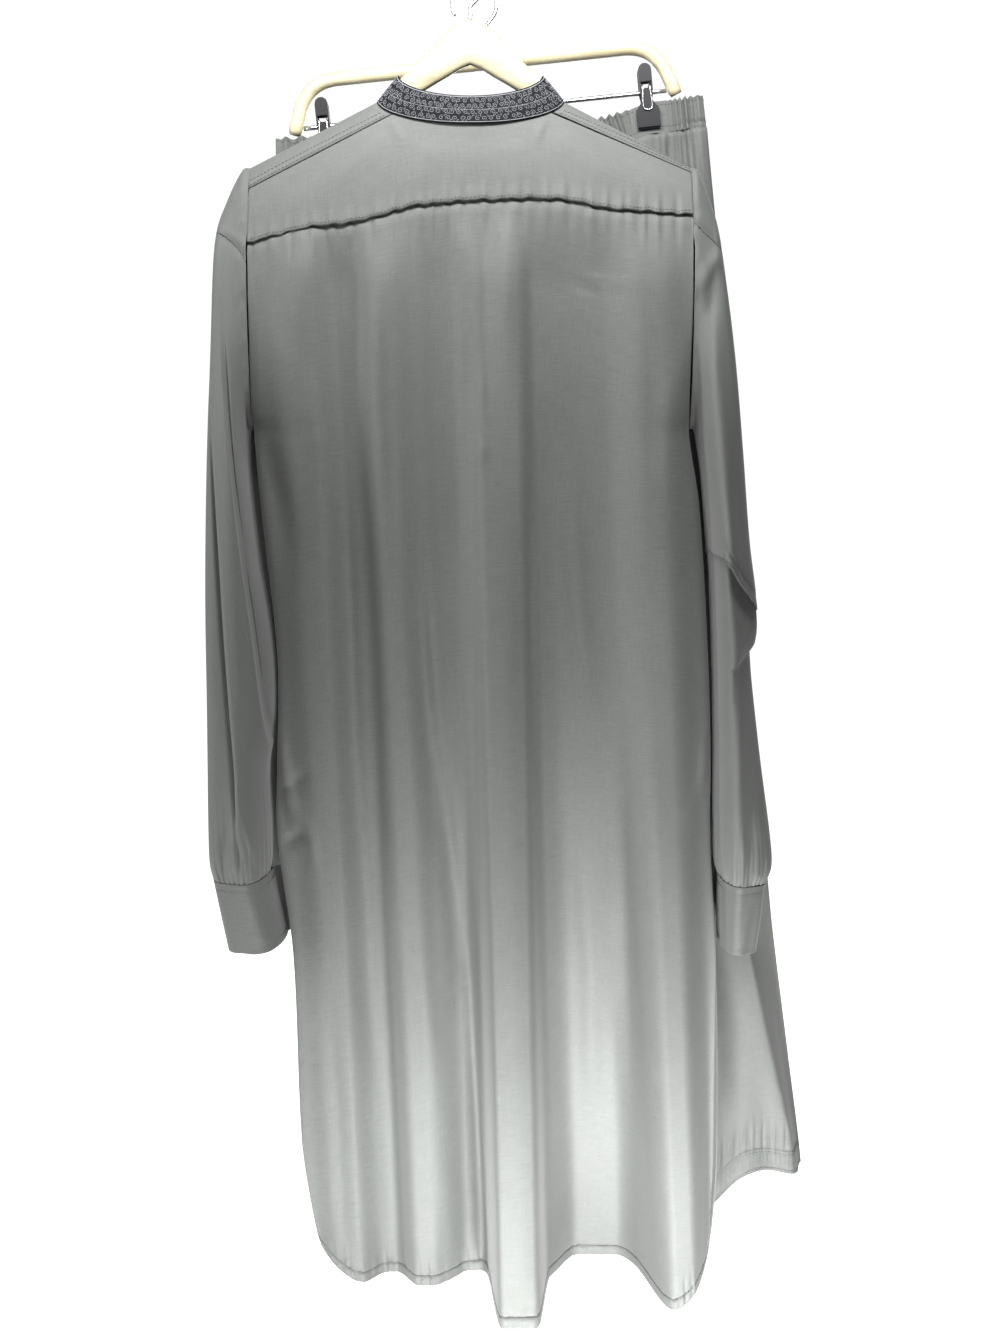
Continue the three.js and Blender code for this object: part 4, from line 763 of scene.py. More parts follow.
def tubes(name, paths, radius, sides, finish):
    """Round threads or wires along paths that all have the same number of points. Each ring stands
    square to its path, on two directions worked out from a steady one, and the ends are capped."""
    paths = np.asarray(paths, float)
    count, length = paths.shape[:2]
    run = np.gradient(paths, axis=1)
    run /= np.linalg.norm(run, axis=2, keepdims=True)
    steady = np.broadcast_to([0.0, 1.0, 0.0], run.shape)
    steady = np.where(np.abs(run[..., 1:2]) > 0.9, [1.0, 0.0, 0.0], steady)
    across = np.cross(run, steady)
    across /= np.linalg.norm(across, axis=2, keepdims=True)
    up = np.cross(across, run)
    around = 2 * math.pi * (np.arange(sides) + 0.5) / sides
    radius = np.broadcast_to(radius, (count, length))[..., None, None]
    rings = (paths[:, :, None] + radius * (np.cos(around)[:, None] * across[:, :, None]
                                           + np.sin(around)[:, None] * up[:, :, None]))
    k, i, j = np.meshgrid(np.arange(count), np.arange(length - 1), np.arange(sides), indexing="ij")
    corners = [(i, j), (i, j + 1), (i + 1, j + 1), (i + 1, j)]
    walls = np.stack([(k * length + a) * sides + b % sides for a, b in corners], -1)
    first = np.arange(count)[:, None] * length * sides + np.arange(sides)[None, :]
    groups = [walls.reshape(-1, 4), first[:, ::-1], first + (length - 1) * sides]
    return piece_from(name, rings.reshape(-1, 3), groups, finish)


lengths = np.linalg.norm(np.diff(collar_place(turns, np.full(len(turns), 0.5)), axis=0), axis=1)
collar_run = np.concatenate([[0], np.cumsum(lengths)])


def on_collar(along, up, out):
    """Places on the collar's outer face, from millimetres along it, up it and out of it."""
    turn = np.interp(along, collar_run, turns)
    row = up / COLLAR_HEIGHT
    nudge = 1e-3
    point = collar_place(turn, row)
    beside = collar_place(turn + nudge, row) - point
    above = collar_place(turn, row + nudge) - point
    face = np.cross(above, beside)
    face /= np.linalg.norm(face, axis=-1, keepdims=True)
    outward = np.sign(np.sum(face[..., :2] * point[..., :2], -1))[..., None]
    return point + face * outward * (COLLAR_WALL / 2 + out)


SILVER_THREAD = speckled_finish("silver_thread", (0.095, 0.10, 0.108), (0.30, 0.31, 0.33),
                                2500, (0.2, 0.45), Specular_IOR_Level=0.3)
SCROLL_STEP, SCROLL_ROWS, SCROLL_STRAY, SCROLL_TURN = 5.6, (4.4, 9.8, 15.2, 20.4), 0.7, 2.0
THREAD_RADIUS, THREAD_OUT, CORD_OUT = 0.20, 0.08, 0.05
# Each curl of a scroll: its reach, its place aside and up, and how many rounds it makes.
CURLS = [(2.5, 0, 0, 1.4), (1.2, 2.8, 1.9, 0.7)]
# Each cord: its height on the band and its radius.
CORDS = [(1.2, 0.26), (12.2, 0.16), (23.6, 0.36)]
chance = np.random.default_rng(11)
share = np.linspace(0, 1, 12)
paths = []
for row, height in enumerate(SCROLL_ROWS):
    for number in range(int(collar_run[-1] / SCROLL_STEP) - 1):
        middle = (number + 0.8 + 0.4 * row) * SCROLL_STEP + chance.uniform(-SCROLL_STRAY, SCROLL_STRAY)
        flip, start = chance.choice([-1, 1]), chance.uniform(-SCROLL_TURN, SCROLL_TURN)
        for reach, aside, up, rounds in CURLS:
            curl = start + 2 * math.pi * rounds * share
            size = reach * chance.uniform(0.85, 1.0) * (1 - 0.8 * share)
            along = middle + aside + flip * size * np.cos(curl)
            paths.append((along, height + up * flip + size * np.sin(curl)))
along, up = np.array(paths).transpose(1, 0, 2)
radius = THREAD_RADIUS * np.sin(math.pi * (0.08 + 0.84 * share)) ** 0.5
embroidery = tubes("collar_embroidery", on_collar(along, up, THREAD_OUT), radius, 4, SILVER_THREAD)
along = np.linspace(1.0, collar_run[-1] - 1.0, 400)
cord_paths = [on_collar(along, np.full_like(along, up), CORD_OUT) for up, _ in CORDS]
cords = tubes("collar_cords", cord_paths, np.array(CORDS)[:, 1:], 6, SILVER_THREAD)

# ------------------------------------------------------------------ stitching
# Dark sewing thread in short stitches, a little raised from the cloth. The shirt has one row along
# the yoke's lower edge, two on each shoulder seam and one along the hems of its back and its front.
# The cuffs, the waistband and the hems of the legs get theirs in their own sections.

STITCH_LENGTH, STITCH_GAP, STITCH_RADIUS, STITCH_OUT = 2.3, 1.1, 0.28, 0.15
YOKE_STITCH_ROW, SHOULDER_STITCH_ROWS, SHOULDER_STITCH_OUT = 2.6, (2.5, 7.0), 0.2
# Points along a stitch, as shares of its length, and its radius at each, as shares of its own.
STITCH_POINTS, STITCH_TAPER = np.array([0, 0.3, 0.7, 1.0]), np.array([0.35, 1, 1, 0.35])
# Dark thread for the stitches. The same colour also draws the cord along each sleeve's cap seam, which is
# painted shadow in the seam's groove.
DARK_THREAD_AND_SEAM_SHADOW = speckled_finish("dark_thread_and_seam_shadow", (0.030, 0.034, 0.032), (0.060, 0.066, 0.062),
                                1800, (0.2, 0.5))


def stitched_rows(name, lines):
    """Short threads, tapered at both ends, along lines of places on the cloth's face."""
    paths = []
    for line in lines:
        run = np.concatenate([[0], np.cumsum(np.linalg.norm(np.diff(line, axis=0), axis=1))])
        count = int(run[-1] / (STITCH_LENGTH + STITCH_GAP))
        starts = (np.arange(count) + 0.15) * run[-1] / count
        at = starts[:, None] + STITCH_LENGTH * STITCH_POINTS
        paths.append(np.stack([np.interp(at, run, part) for part in line.T], -1))
    stitches = tubes(name, np.concatenate(paths), STITCH_RADIUS * STITCH_TAPER, 5, DARK_THREAD_AND_SEAM_SHADOW)


def seam_row(grid, distance, toward, from_end=False, trim=1, out=STITCH_OUT):
    """A line of places on a grid's cloth, at a distance along each column from its first point, or
    from its last, without the first and last few columns. The places are moved out along the normal
    by half the wall and a little more, to the side where y goes down (toward -1) or up (toward 1)."""
    walk = grid[:, ::-1] if from_end else grid
    run = np.cumsum(np.linalg.norm(np.diff(walk, axis=1), axis=2), axis=1)
    run = np.concatenate([np.zeros((len(run), 1)), run], axis=1)
    row = np.array([np.interp(distance, line, np.arange(len(line))) for line in run])
    row = grid.shape[1] - 1 - row if from_end else row
    column = np.arange(len(grid))
    i = np.minimum(column, len(grid) - 2)
    j = np.clip(np.floor(row).astype(int), 0, grid.shape[1] - 2)
    corner, right, down, far = grid[i, j], grid[i + 1, j], grid[i, j + 1], grid[i + 1, j + 1]
    u, v = (column - i)[:, None], (row - j)[:, None]
    point = mix(mix(corner, right, u), mix(down, far, u), v)
    face = np.cross(right + far - corner - down, down + far - corner - right)
    face /= np.linalg.norm(face, axis=1, keepdims=True) + 1e-12
    moved = point + face * (np.sign(face[:, 1]) * toward)[:, None] * (CLOTH_WALL / 2 + out)
    return moved[trim:-trim]


seams = [seam_row(back_grid, HEM_BAND, -1, True, 2), seam_row(yoke_grid, YOKE_STITCH_ROW, -1),
         seam_row(hung, HEM_BAND, 1, False, 2)]
for distance in SHOULDER_STITCH_ROWS:
    for shoulder in (flap[chest_x <= -NECK_HALF], flap[chest_x >= NECK_HALF]):
        seams.append(seam_row(shoulder, distance, -1, True, 1, SHOULDER_STITCH_OUT))
stitched_rows("kameez_stitching", seams)

# ------------------------------------------------------------------ kameez: sleeves
# Long one-piece sleeves of the same cloth, set into the armholes and gathered into the cuffs. The
# left one hangs in flat lengthwise folds, and the right one is bent in a fold at the elbow.

# Each ring: its outer and inner line as x and z, and half its depth from front to back.
SLEEVE_RINGS = {
    "left": [(-190.1, -179.3, -190.1, -400, 30), (-196, -182, -194.5, -401.5, 31),
             (-208, -206, -195, -415, 36), (-218, -240, -195, -438, 45), (-222, -320, -192, -475, 57),
             (-226, -400, -187, -520, 63), (-229, -480, -180.5, -560, 65), (-231, -560, -176, -605, 65),
             (-231.5, -630, -176.5, -650, 64), (-232, -690, -183, -698, 62),
             (-233, -745, -181.5, -747, 60), (-233.5, -780, -181.5, -780, 56),
             (-231, -797, -183, -795, 50)],
    "right": [(190.1, -179.3, 190.1, -400, 30), (195, -183, 195.5, -402, 31), (206, -210, 199, -420, 34),
              (214, -240, 203, -445, 40), (227, -330, 208, -490, 48), (236, -420, 212, -535, 52),
              (243, -500, 214, -575, 53), (251, -560, 215, -600, 53), (250, -583, 215.5, -612, 52),
              (245, -597, 216, -622, 50), (255, -680, 217.5, -690, 50), (266, -755, 218.5, -757, 50),
              (268, -786, 220, -785, 48), (262, -800, 223.5, -799, 45)],
}
SLEEVE_CREASES = {
    "left": [(3.0, 7, 5, (0.3, 0.3), [(-200, -262), (-196, -300), (-193, -395), (-186, -513)]),
             (-1.8, 3, 3, (0.2, 0.2), [(-216, -238), (-203, -244), (-195.5, -251.5), (-189, -262)]),
             (1.4, 3, 6, (0.2, 0.2), [(-214, -234), (-202, -240), (-193, -247), (-188, -256)]),
             (1.5, 3, 3, (0.3, 0.3), [(-207, -215), (-196, -204), (-186, -194)]),
             (3.4, 4, 7, (0.5, 0.15), [(-206, -690), (-200, -736), (-192, -760), (-183, -790)]),
             (-2.6, 3, 3, (0.4, 0.15), [(-206, -710), (-197, -748), (-188, -792)]),
             (2.6, 3, 4, (0.4, 0.15), [(-204, -712), (-202, -745), (-209, -790)]),
             (-2.0, 3, 4, (0.4, 0.15), [(-208, -730), (-214, -760), (-217, -795)]),
             (1.8, 3, 4, (0.4, 0.15), [(-216, -740), (-222, -765), (-224, -795)])],
    "right": [(-1.8, 3, 3, (0.1, 0.2), [(188, -226), (198, -236.6), (206.4, -243.2), (216, -252)]),
              (1.4, 6, 3, (0.1, 0.2), [(190, -222), (200, -232), (208, -239), (217, -247)]),
              (2.6, 4, 7, (0.2, 0.4), [(213, -250), (205, -264), (198, -278), (193, -293)]),
              (-2.0, 9, 6, (0.2, 0.4), [(215, -262), (208, -286), (199, -318)]),
              (3.0, 8, 6, (0.4, 0.3), [(238, -590), (234, -634), (231, -700), (233, -770)]),
              (-2.6, 7, 7, (0.4, 0.3), [(226, -600), (224, -660), (226, -740)]),
              (2.4, 10, 9, (0.3, 0.4), [(197, -300), (208, -380), (218, -470)]),
              (2.6, 5, 5, (0.4, 0.15), [(252, -720), (254, -760), (250, -800)]),
              (-2.2, 4, 4, (0.4, 0.15), [(244, -730), (244, -765), (241, -800)]),
              (2.2, 4, 4, (0.4, 0.15), [(236, -740), (236, -770), (233, -800)])],
}
# The left sleeve's flat middle fold: its two edges, how far it stands out, the widths of its
# flanks, the depths of the grooves beside it, and how far its right edge laps over.
LAID_LEFT_EDGE = [(300, -221), (362, -220), (428, -217), (510, -213), (579, -210), (645, -206.5),
                  (690, -204), (760, -202), (800, -200)]
LAID_RIGHT_EDGE = [(300, -211), (362, -207.5), (428, -202.5), (510, -194.5), (579, -187),
                   (645, -181.5), (690, -178), (760, -174), (800, -172)]
LAID_OUT, LAID_LEFT_FLANK, LAID_RIGHT_FLANK = 7.5, 4.0, 1.8
LAID_LEFT_GROOVE, LAID_RIGHT_GROOVE, LAID_LAP = 3, 9, 2.4
# Heights where the fold begins, where its edge laps over and where both end, each with its fading.
LAID_TOP, LAID_TOP_FADE, LAP_TOP, LAP_FADE, LAID_FOOT, LAID_FOOT_FADE = -300, 130, -340, 80, -795, 70
# The fold over the right elbow: x and height along its edge, how far it stands out, its reach
# above and below, the hollow under it, the groove above its edge, and how far the edge hangs down.
ELBOW_EDGE = [(190, -489), (196.5, -494), (217, -510.4), (230, -529), (240, -541), (252, -556)]
ELBOW_OUT, ELBOW_ABOVE, ELBOW_BELOW, ELBOW_HOLLOW, ELBOW_GROOVE, ELBOW_LAP = 9.0, 46, 2.2, 6.0, 2.6, 5.0
# How far the hollow reaches down and the lip reaches up, and the groove's height over the edge and
# its width.
HOLLOW_REACH, LIP_REACH, GROOVE_OVER, GROOVE_WIDTH = 30, 9, 7, 2.0
# The rings over which a sleeve leaves the armhole's shape, the power that squares its section, the
# number, size and turn of its lobes, and how far its edge closes up to the body.
ARMHOLE_RINGS, RING_POWER, LOBES, LOBE_SIZE, LOBE_TURN, ARMHOLE_CLOSE = 3, 0.8, 3, 0.1, 0.6, 1.35
# The rise of the gathers at the cuff and of the puckers at the cap, how far the left sleeve goes
# in behind the shirt's front and from what height, and how much fuller one side of the back is.
SLEEVE_GATHER, CAP_PUCKER, BEHIND_FRONT, TUCK_TOP, TUCK_FADE = 1.5, 0.5, 12, -390, 14
FULLER = {"left": 0.18, "right": -0.22}
# The sleeves' grids: columns round, rows along, and closer rows over the right elbow.
SLEEVE_COLUMNS, SLEEVE_ROWS = {"left": 190, "right": 140}, {"left": 130, "right": 96}
ELBOW_ROWS = np.linspace(3.7, 7.3, 110)
CUFF_COLUMNS, CUFF_ROWS, CUFF_WALL, CUFF_HEIGHT = 120, 24, 1.5, 62
# The rows of the cuffs' stitching, and the radius of the dark cord along each cap seam, which is painted
# shadow in the seam's groove.
CUFF_STITCH_ROWS, SEAM_SHADOW_CORD_RADIUS = (0.22, 1.80), 0.5


def ring_place(rings, turn, row, lobe):
    """A flattened ring between an outer and an inner line: an ellipse with slightly squared
    sides and three low lobes."""
    outer_x, outer_z, inner_x, inner_z, half = (
        curve(list(enumerate(line)), row) for line in np.array(rings, float).T)
    lean = 0.5 + np.cos(turn) / 2
    swell = 1 + lobe * np.cos(LOBES * turn + LOBE_TURN)
    y = half * np.sign(np.sin(turn)) * np.abs(np.sin(turn)) ** RING_POWER * swell
    return mix(inner_x, outer_x, lean), y, mix(inner_z, outer_z, lean)


def tucked_in(turn, y, start):
    """How far the front of the left sleeve and cuff is pushed in behind the shirt's front."""
    return BEHIND_FRONT * smooth((y - start) / 22) * (0.5 - np.cos(turn) / 2)


def laid_fold(x, z):
    """The flat fold on the left sleeve, with a groove on each side, and the lip by which its right
    edge laps over its groove."""
    left, right = curve(LAID_LEFT_EDGE, -z), curve(LAID_RIGHT_EDGE, -z)
    inside = smooth((right - x) / LAID_RIGHT_FLANK)
    laid = LAID_OUT * smooth((x - left) / LAID_LEFT_FLANK) * inside
    grooves = -LAID_RIGHT_GROOVE * bell(x - right - 1.6, 1.4) - LAID_LEFT_GROOVE * bell(x - left + 1.0, 1.8)
    folded = (laid + grooves) * smooth((LAID_TOP - z) / LAID_TOP_FADE)
    folded = folded * smooth((z - LAID_FOOT) / LAID_FOOT_FADE)
    return folded, inside * bell(clamp(right - x, 0, 99), 5)


def elbow_fold(x, z):
    """The fold over the right elbow, with the hollow under it and a groove above its edge, and
    the lip by which the edge hangs over the hollow."""
    over = z - curve(ELBOW_EDGE, x)
    above, below = clamp(over, 0, 400), clamp(-over, 0, 400)
    edge = smooth((over + ELBOW_BELOW) / ELBOW_BELOW)
    folded = ELBOW_OUT * edge * bell(above, ELBOW_ABOVE)
    folded = folded - ELBOW_HOLLOW * bell(below, HOLLOW_REACH) * smooth(-over / ELBOW_BELOW)
    return folded - ELBOW_GROOVE * bell(over - GROOVE_OVER, GROOVE_WIDTH), edge * bell(above, LIP_REACH)


def sleeve_place(side, turn, row):
    """The sleeve's surface. Its first rings take the armhole's shape and the later ones their
    own, with creases on the back and softer ones on the front, and gathers into the cuff. The back
    of the ring is fuller on one side, and the sleeve's edge closes up to the body at the seam."""
    rings, last = SLEEVE_RINGS[side], len(SLEEVE_RINGS[side]) - 1
    own = smooth(row / ARMHOLE_RINGS)
    x, y, z = ring_place(rings, turn, row, LOBE_SIZE * own)
    hole_z = mix(UNDERARM, ridge(ARMHOLE_X), 0.5 + np.cos(turn) / 2)
    y = mix(np.sign(np.sin(turn)) * armhole_depth(hole_z), y, own)
    fuller = FULLER[side] * (smooth((row - 4) / 3) if side == "left" else own)
    y = y * (1 + fuller * np.cos(turn) * (y < 0) * smooth((last - row) / 2.5))
    face = np.abs(np.sin(turn)) ** 0.6 * np.sign(np.sin(turn))
    if side == "left":
        folded, lip = laid_fold(x, z)
        x = x + tucked_in(turn, y, 8) * smooth((TUCK_TOP - z) / TUCK_FADE)
        lap = lip * smooth((LAP_TOP - z) / LAP_FADE) * smooth((z - LAID_FOOT) / LAID_FOOT_FADE)
        x = x + LAID_LAP * lap * (y < 0)
    else:
        folded, lip = elbow_fold(x, z)
        z = z - ELBOW_LAP * lip * smooth(np.abs(face) / 0.5) * smooth((x - 188) / 8)
    folded = folded * np.maximum(np.abs(face), 0.7) / np.maximum(np.abs(face), 0.2)
    depth = np.where(face < 0, 1.0, 0.6) * (creased(x, z, SLEEVE_CREASES[side]) + folded)
    gathers = SLEEVE_GATHER * ripple(turn * 60 + row, 12, 3.0) * bell(last - row, 1.6) * smooth(row - 8)
    cap = CAP_PUCKER * ripple(turn * 70, 16, 5.0) * bell(row - 0.6, 0.8) * smooth(row / 0.5)
    x = x + np.cos(turn) * gathers * 0.6
    toward_body = 1 if side == "left" else -1
    x = x + toward_body * ARMHOLE_CLOSE * bell(row, 0.3) * smooth((z + 250) / 14)
    return np.stack([x, y + face * (depth + gathers + cap), z], -1)


# Where the cap of each sleeve is sewn on: x and height. A dark cord laid along it is painted shadow in the
# seam's groove.
CAP_SEAM = {"left": [(-217, -237), (-212, -238), (-203, -244), (-195.5, -251.5), (-190, -262)],
            "right": [(190, -229), (198, -236.6), (206.4, -243.2), (213.5, -250)]}


def smooth_path(points, count):
    """A smooth line through a few points, evenly spaced by their distances."""
    points = np.array(points, float)
    run = np.concatenate([[0], np.cumsum(np.linalg.norm(np.diff(points, axis=0), axis=1))])
    at = np.linspace(0, run[-1], count)
    return np.stack([curve(np.stack([run, line], -1), at) for line in points.T], -1)


def on_back(grid, line):
    """Places on the back of a sleeve's grid along a line of (x, height): the depth is an average
    of the nearest points, weighted by one over the square of their distance."""
    back_points = grid.reshape(-1, 3)
    back_points = back_points[back_points[:, 1] < 0]
    gap = np.hypot(line[:, :1] - back_points[:, 0], line[:, 1:] - back_points[:, 2])
    nearest = np.argsort(gap, axis=1)[:, :6]
    weight = 1 / (np.take_along_axis(gap, nearest, 1) ** 2 + 0.05)
    depth = (weight * back_points[nearest, 1]).sum(1) / weight.sum(1)
    return np.stack([line[:, 0], depth - CLOTH_WALL / 2 - 0.1, line[:, 1]], -1)


def open_ends(count, last, ends):
    """Rows from 0 to last, with a few more near both ends."""
    return np.unique(np.concatenate([np.linspace(0, last, count), ends, last - np.array(ends)]))


CUFF_RINGS = {
    "left": [(-231, -797.6, -183, -795.6, 50), (-225, -830, -177, -827, 50), (-219, -861, -170, -857, 50)],
    "right": [(262, -800.6, 223.5, -799.6, 45), (259, -832, 224, -831, 45), (255, -862, 224.5, -861, 45)],
}


def cuff_place(side, turn, row):
    """The cuff's surface: a flat ring, a little hollow along its topstitching."""
    x, y, z = ring_place(CUFF_RINGS[side], turn, row, LOBE_SIZE)
    if side == "left":
        x = x + tucked_in(turn, y, 15)
    from_edge = np.minimum(row, 2 - row) * CUFF_HEIGHT / 2
    groove = 0.7 * bell(from_edge - 6, 1.2)
    wave = 0.35 * np.sin(9 * turn + 2 * row)
    return np.stack([x, y * (1 + (wave - groove) / 50), z], -1)


for side in ("left", "right"):
    turns = np.linspace(0, 2 * math.pi, SLEEVE_COLUMNS[side], endpoint=False)[:, None]
    rows = open_ends(SLEEVE_ROWS[side], len(SLEEVE_RINGS[side]) - 1, [0.1, 0.25, 0.4])
    if side == "right":
        rows = np.unique(np.concatenate([rows, ELBOW_ROWS]))
    turn, row = np.broadcast_arrays(turns, rows[None, :])
    sleeve = sheet_mesh(f"kameez_sleeve_cloth_{side}", sleeve_place(side, turn, row), GREY_CLOTH,
                        ring=True, flip=side == "left")
    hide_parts(f"kameez_sleeve_{side}")
    turn, row = np.broadcast_arrays(np.linspace(0, 2 * math.pi, CUFF_COLUMNS, endpoint=False)[:, None],
                                    open_ends(CUFF_ROWS, 2.0, [0.02, 0.05])[None, :])
    cuff = sheet_mesh(f"kameez_cuff_cloth_{side}", cuff_place(side, turn, row), GREY_CLOTH,
                      ring=True, flip=side == "left", wall=CUFF_WALL)
    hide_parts(f"kameez_cuff_{side}")
    around = np.linspace(0, 2 * math.pi, 300)
    rounds = []
    for row in CUFF_STITCH_ROWS:
        line = cuff_place(side, around, np.full_like(around, row))
        middle = line.mean(axis=0)
        away = (line - middle) * [1, 1, 0]
        rounds.append(line + away / np.linalg.norm(away, axis=1, keepdims=True) * (CUFF_WALL / 2 + 0.1))
    grid = sleeve_place(side, *np.broadcast_arrays(turns, np.linspace(0, 5, 160)[None, :]))
    cap = smooth_path(CAP_SEAM[side], 60)
    # A dark cord along the back of each cap seam: painted shadow in the seam's groove, drawn as a dark
    # thread.
    seam_shadow_cord = tubes(f"kameez_cap_seam_{side}", [on_back(grid, cap)], SEAM_SHADOW_CORD_RADIUS, 6, DARK_THREAD_AND_SEAM_SHADOW)
    stitched_rows(f"kameez_cuff_stitching_{side}", rounds)

# ------------------------------------------------------------------ shalwar: waistband
# A casing of the same cloth with wide elastic inside, which draws it into close upright gathers.
# It hangs from the two clips, flat under their jaws, and sags a little between them.

SHALWAR_Y = 81.7
TILT = math.radians(5.8)
CLIP_X, BAR_Z, JAW_BOTTOM = 147, -110.5, -31
WAIST_LEFT, WAIST_RIGHT, WAIST_LEFT_TOP, WAIST_RIGHT_TOP = -179, 209, -137, -99
WAIST_SAG, WAIST_HEIGHT, WAIST_HALF_DEPTH, GATHER_STEP = 22, 27, 10, 7.4
GATHER_DEPTH, PINCH_HALF, PINCH_FLAT, PINCH_FLANK, END_ROUND = 2.4, 1.05, 13, 34, 6
# A second, wider set of gathers, how far the right end leans out, how tight the rows of stitching
# draw the casing, and the ruffle along its upper edge.
WIDE_STEP, WIDE_SHARE, WAIST_LEAN, STITCH_TIGHT, RUFFLE = 2.7 * GATHER_STEP, 0.4, 3.7, 1.4, 1.3
# How far the gathers lean for each millimetre down, round which place, and how far to its sides.
GATHER_LEAN, LEAN_X, LEAN_REACH = 0.34, 124, 30
# How far beyond a clip's flat stretch the cloth is still held, and over what width it comes loose.
HELD_BEYOND, HELD_FADE = 1, 5
WAIST_COLUMNS, WAIST_ROWS, WAIST_STITCH_DROPS = 880, 20, (3.4, 22.4)


def tilted(points):
    """Places on the clip hanger, which hangs a little askew, in the plane of the shalwar."""
    x, y, z = np.moveaxis(np.asarray(points, float), -1, 0)
    return np.stack([x * math.cos(TILT) - z * math.sin(TILT), y + SHALWAR_Y,
                     x * math.sin(TILT) + z * math.cos(TILT)], -1)


clip_left_x, clip_right_x = tilted([(side * CLIP_X, 0, BAR_Z + JAW_BOTTOM + 8) for side in (-1, 1)])[:, 0]


def waist_top(x):
    """Height of the waistband's upper edge: a slant with a parabola between the clips."""
    away = (x - (clip_left_x + clip_right_x) / 2) / ((clip_right_x - clip_left_x) / 2)
    slant = mix(WAIST_LEFT_TOP, WAIST_RIGHT_TOP, clamp((x - WAIST_LEFT) / (WAIST_RIGHT - WAIST_LEFT)))
    return slant - WAIST_SAG * clamp(1 - away ** 2)


def pinch(x):
    """1 where a clip holds the waistband flat, 0 away from it."""
    away = np.minimum(np.abs(x - clip_left_x), np.abs(x - clip_right_x))
    return 1 - smooth((away - PINCH_FLAT) / PINCH_FLANK)


def round_edge(across):
    """Fullness of a flattened tube: a superellipse."""
    return (1 - np.minimum(np.abs(across), 1) ** END_ROUND) ** (1 / END_ROUND)


def waist_depth(x, across):
    """Half the waistband's depth: full between the clips, and nearly flat under them."""
    return mix(WAIST_HALF_DEPTH, PINCH_HALF, pinch(x)) * round_edge(across)


def gathered(x, drop, length):
    """Upright gathers at a drop below the waist's upper edge, from -1 to 1: narrow crests between
    wider hollows, closer together left of the right clip, where they also lean."""
    lean = x - GATHER_LEAN * drop * bell(x - LEAN_X, LEAN_REACH)
    phase = math.pi * (lean / length - 1.3 * np.cos(lean / 23) + 0.5 * np.sin(lean / 9.7))
    crest = 1 - 2 * np.sqrt(np.sin(phase) ** 2 + 0.02)
    return crest * (0.75 + 0.35 * np.sin(0.37 * phase + 2))


def clip_hold(x):
    """0 under the jaws of a clip, 1 beside them."""
    away = np.minimum(np.abs(x - clip_left_x), np.abs(x - clip_right_x))
    return smooth((away - PINCH_FLAT - HELD_BEYOND) / HELD_FADE)


columns = np.linspace(0, 1, WAIST_COLUMNS, endpoint=False)[:, None]
rows = open_ends(WAIST_ROWS, 1.0, [0.02])[None, :]
front_half = columns < 0.5
across = np.where(front_half, 4 * columns - 1, 3 - 4 * columns)
x = mix(WAIST_LEFT, WAIST_RIGHT, 0.5 + across / 2)
loose = clip_hold(x) * smooth((1 - np.abs(across)) / 0.02)
stitched = bell(rows - 0.80, 0.05) + 0.4 * bell(rows - 0.12, 0.04)
drop = WAIST_HEIGHT * rows
wave = GATHER_DEPTH * loose * (gathered(x, drop, GATHER_STEP) * (1 - 0.3 * stitched)
                               + WIDE_SHARE * gathered(x + 3, drop, WIDE_STEP))
tight = STITCH_TIGHT * stitched * (1 - pinch(x))
depth = np.maximum(waist_depth(x, across) - tight * round_edge(across), 0.5)
y = SHALWAR_Y + np.where(front_half, -1, 1) * depth - wave
ruffle = RUFFLE * loose * gathered(x, 0, GATHER_STEP) * (1 - rows) ** 2
z = waist_top(x) + 0.3 - (WAIST_HEIGHT + 0.75) * rows + ruffle
x = x + WAIST_LEAN * rows * clamp(across) ** 2
waist_grid = np.stack(np.broadcast_arrays(x, y, z), -1)
waistband = sheet_mesh("shalwar_waist_casing", waist_grid, GREY_CLOTH, ring=True)
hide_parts("shalwar_waistband")
outward = np.where(front_half[:, 0], -1, 1)
stitched_rows("shalwar_waist_stitching",
              [seam_row(waist_grid, distance, outward, False, 6) for distance in WAIST_STITCH_DROPS])

# ------------------------------------------------------------------ shalwar: legs
# Two wide legs, each cut in one piece, gathered into the waistband and joined at the centre seam.
# They hang in long soft folds, and the hems are stiffened by several rows of stitching.

CENTRE_SEAM = {"top_z": -90, "top_x": 15, "crotch_z": -500, "crotch_x": 45, "closing": 60}
# Drop and place of each leg's outer edge, and drop and distance of its inseam from the centre.
LEG_OUTER = {
    "left": [(90, -179), (165, -177), (300, -170), (500, -162), (560, -157), (700, -150),
             (850, -140), (1000, -130), (1110, -120), (1160, -118)],
    "right": [(90, 209), (165, 217), (300, 232), (500, 250), (560, 256), (700, 268),
              (850, 285), (1000, 306), (1110, 321), (1160, 323)],
}
LEG_AWAY = {
    "left": [(300, 0), (500, 0), (560, 9), (700, 12), (850, 7), (1000, -3), (1110, -15), (1160, -17)],
    "right": [(300, 0), (500, 0), (560, 15), (700, 41), (850, 61), (1000, 79), (1110, 93), (1160, 95)],
}
LEG_HEM = {"left": -1150, "inner": -1140, "right": -1110}
LEG_HALF_DEPTH, LEG_FOLDS, LEG_FOLD_DEPTH = 22, 4.5, 6
# The share of a leg's width over which it thins out to its inseam, and the shares of its height
# over which it opens to its full depth and its folds grow.
INSEAM_SHARE, OPENING_SHARE, FOLD_GROWTH = 0.45, 0.25, 0.2
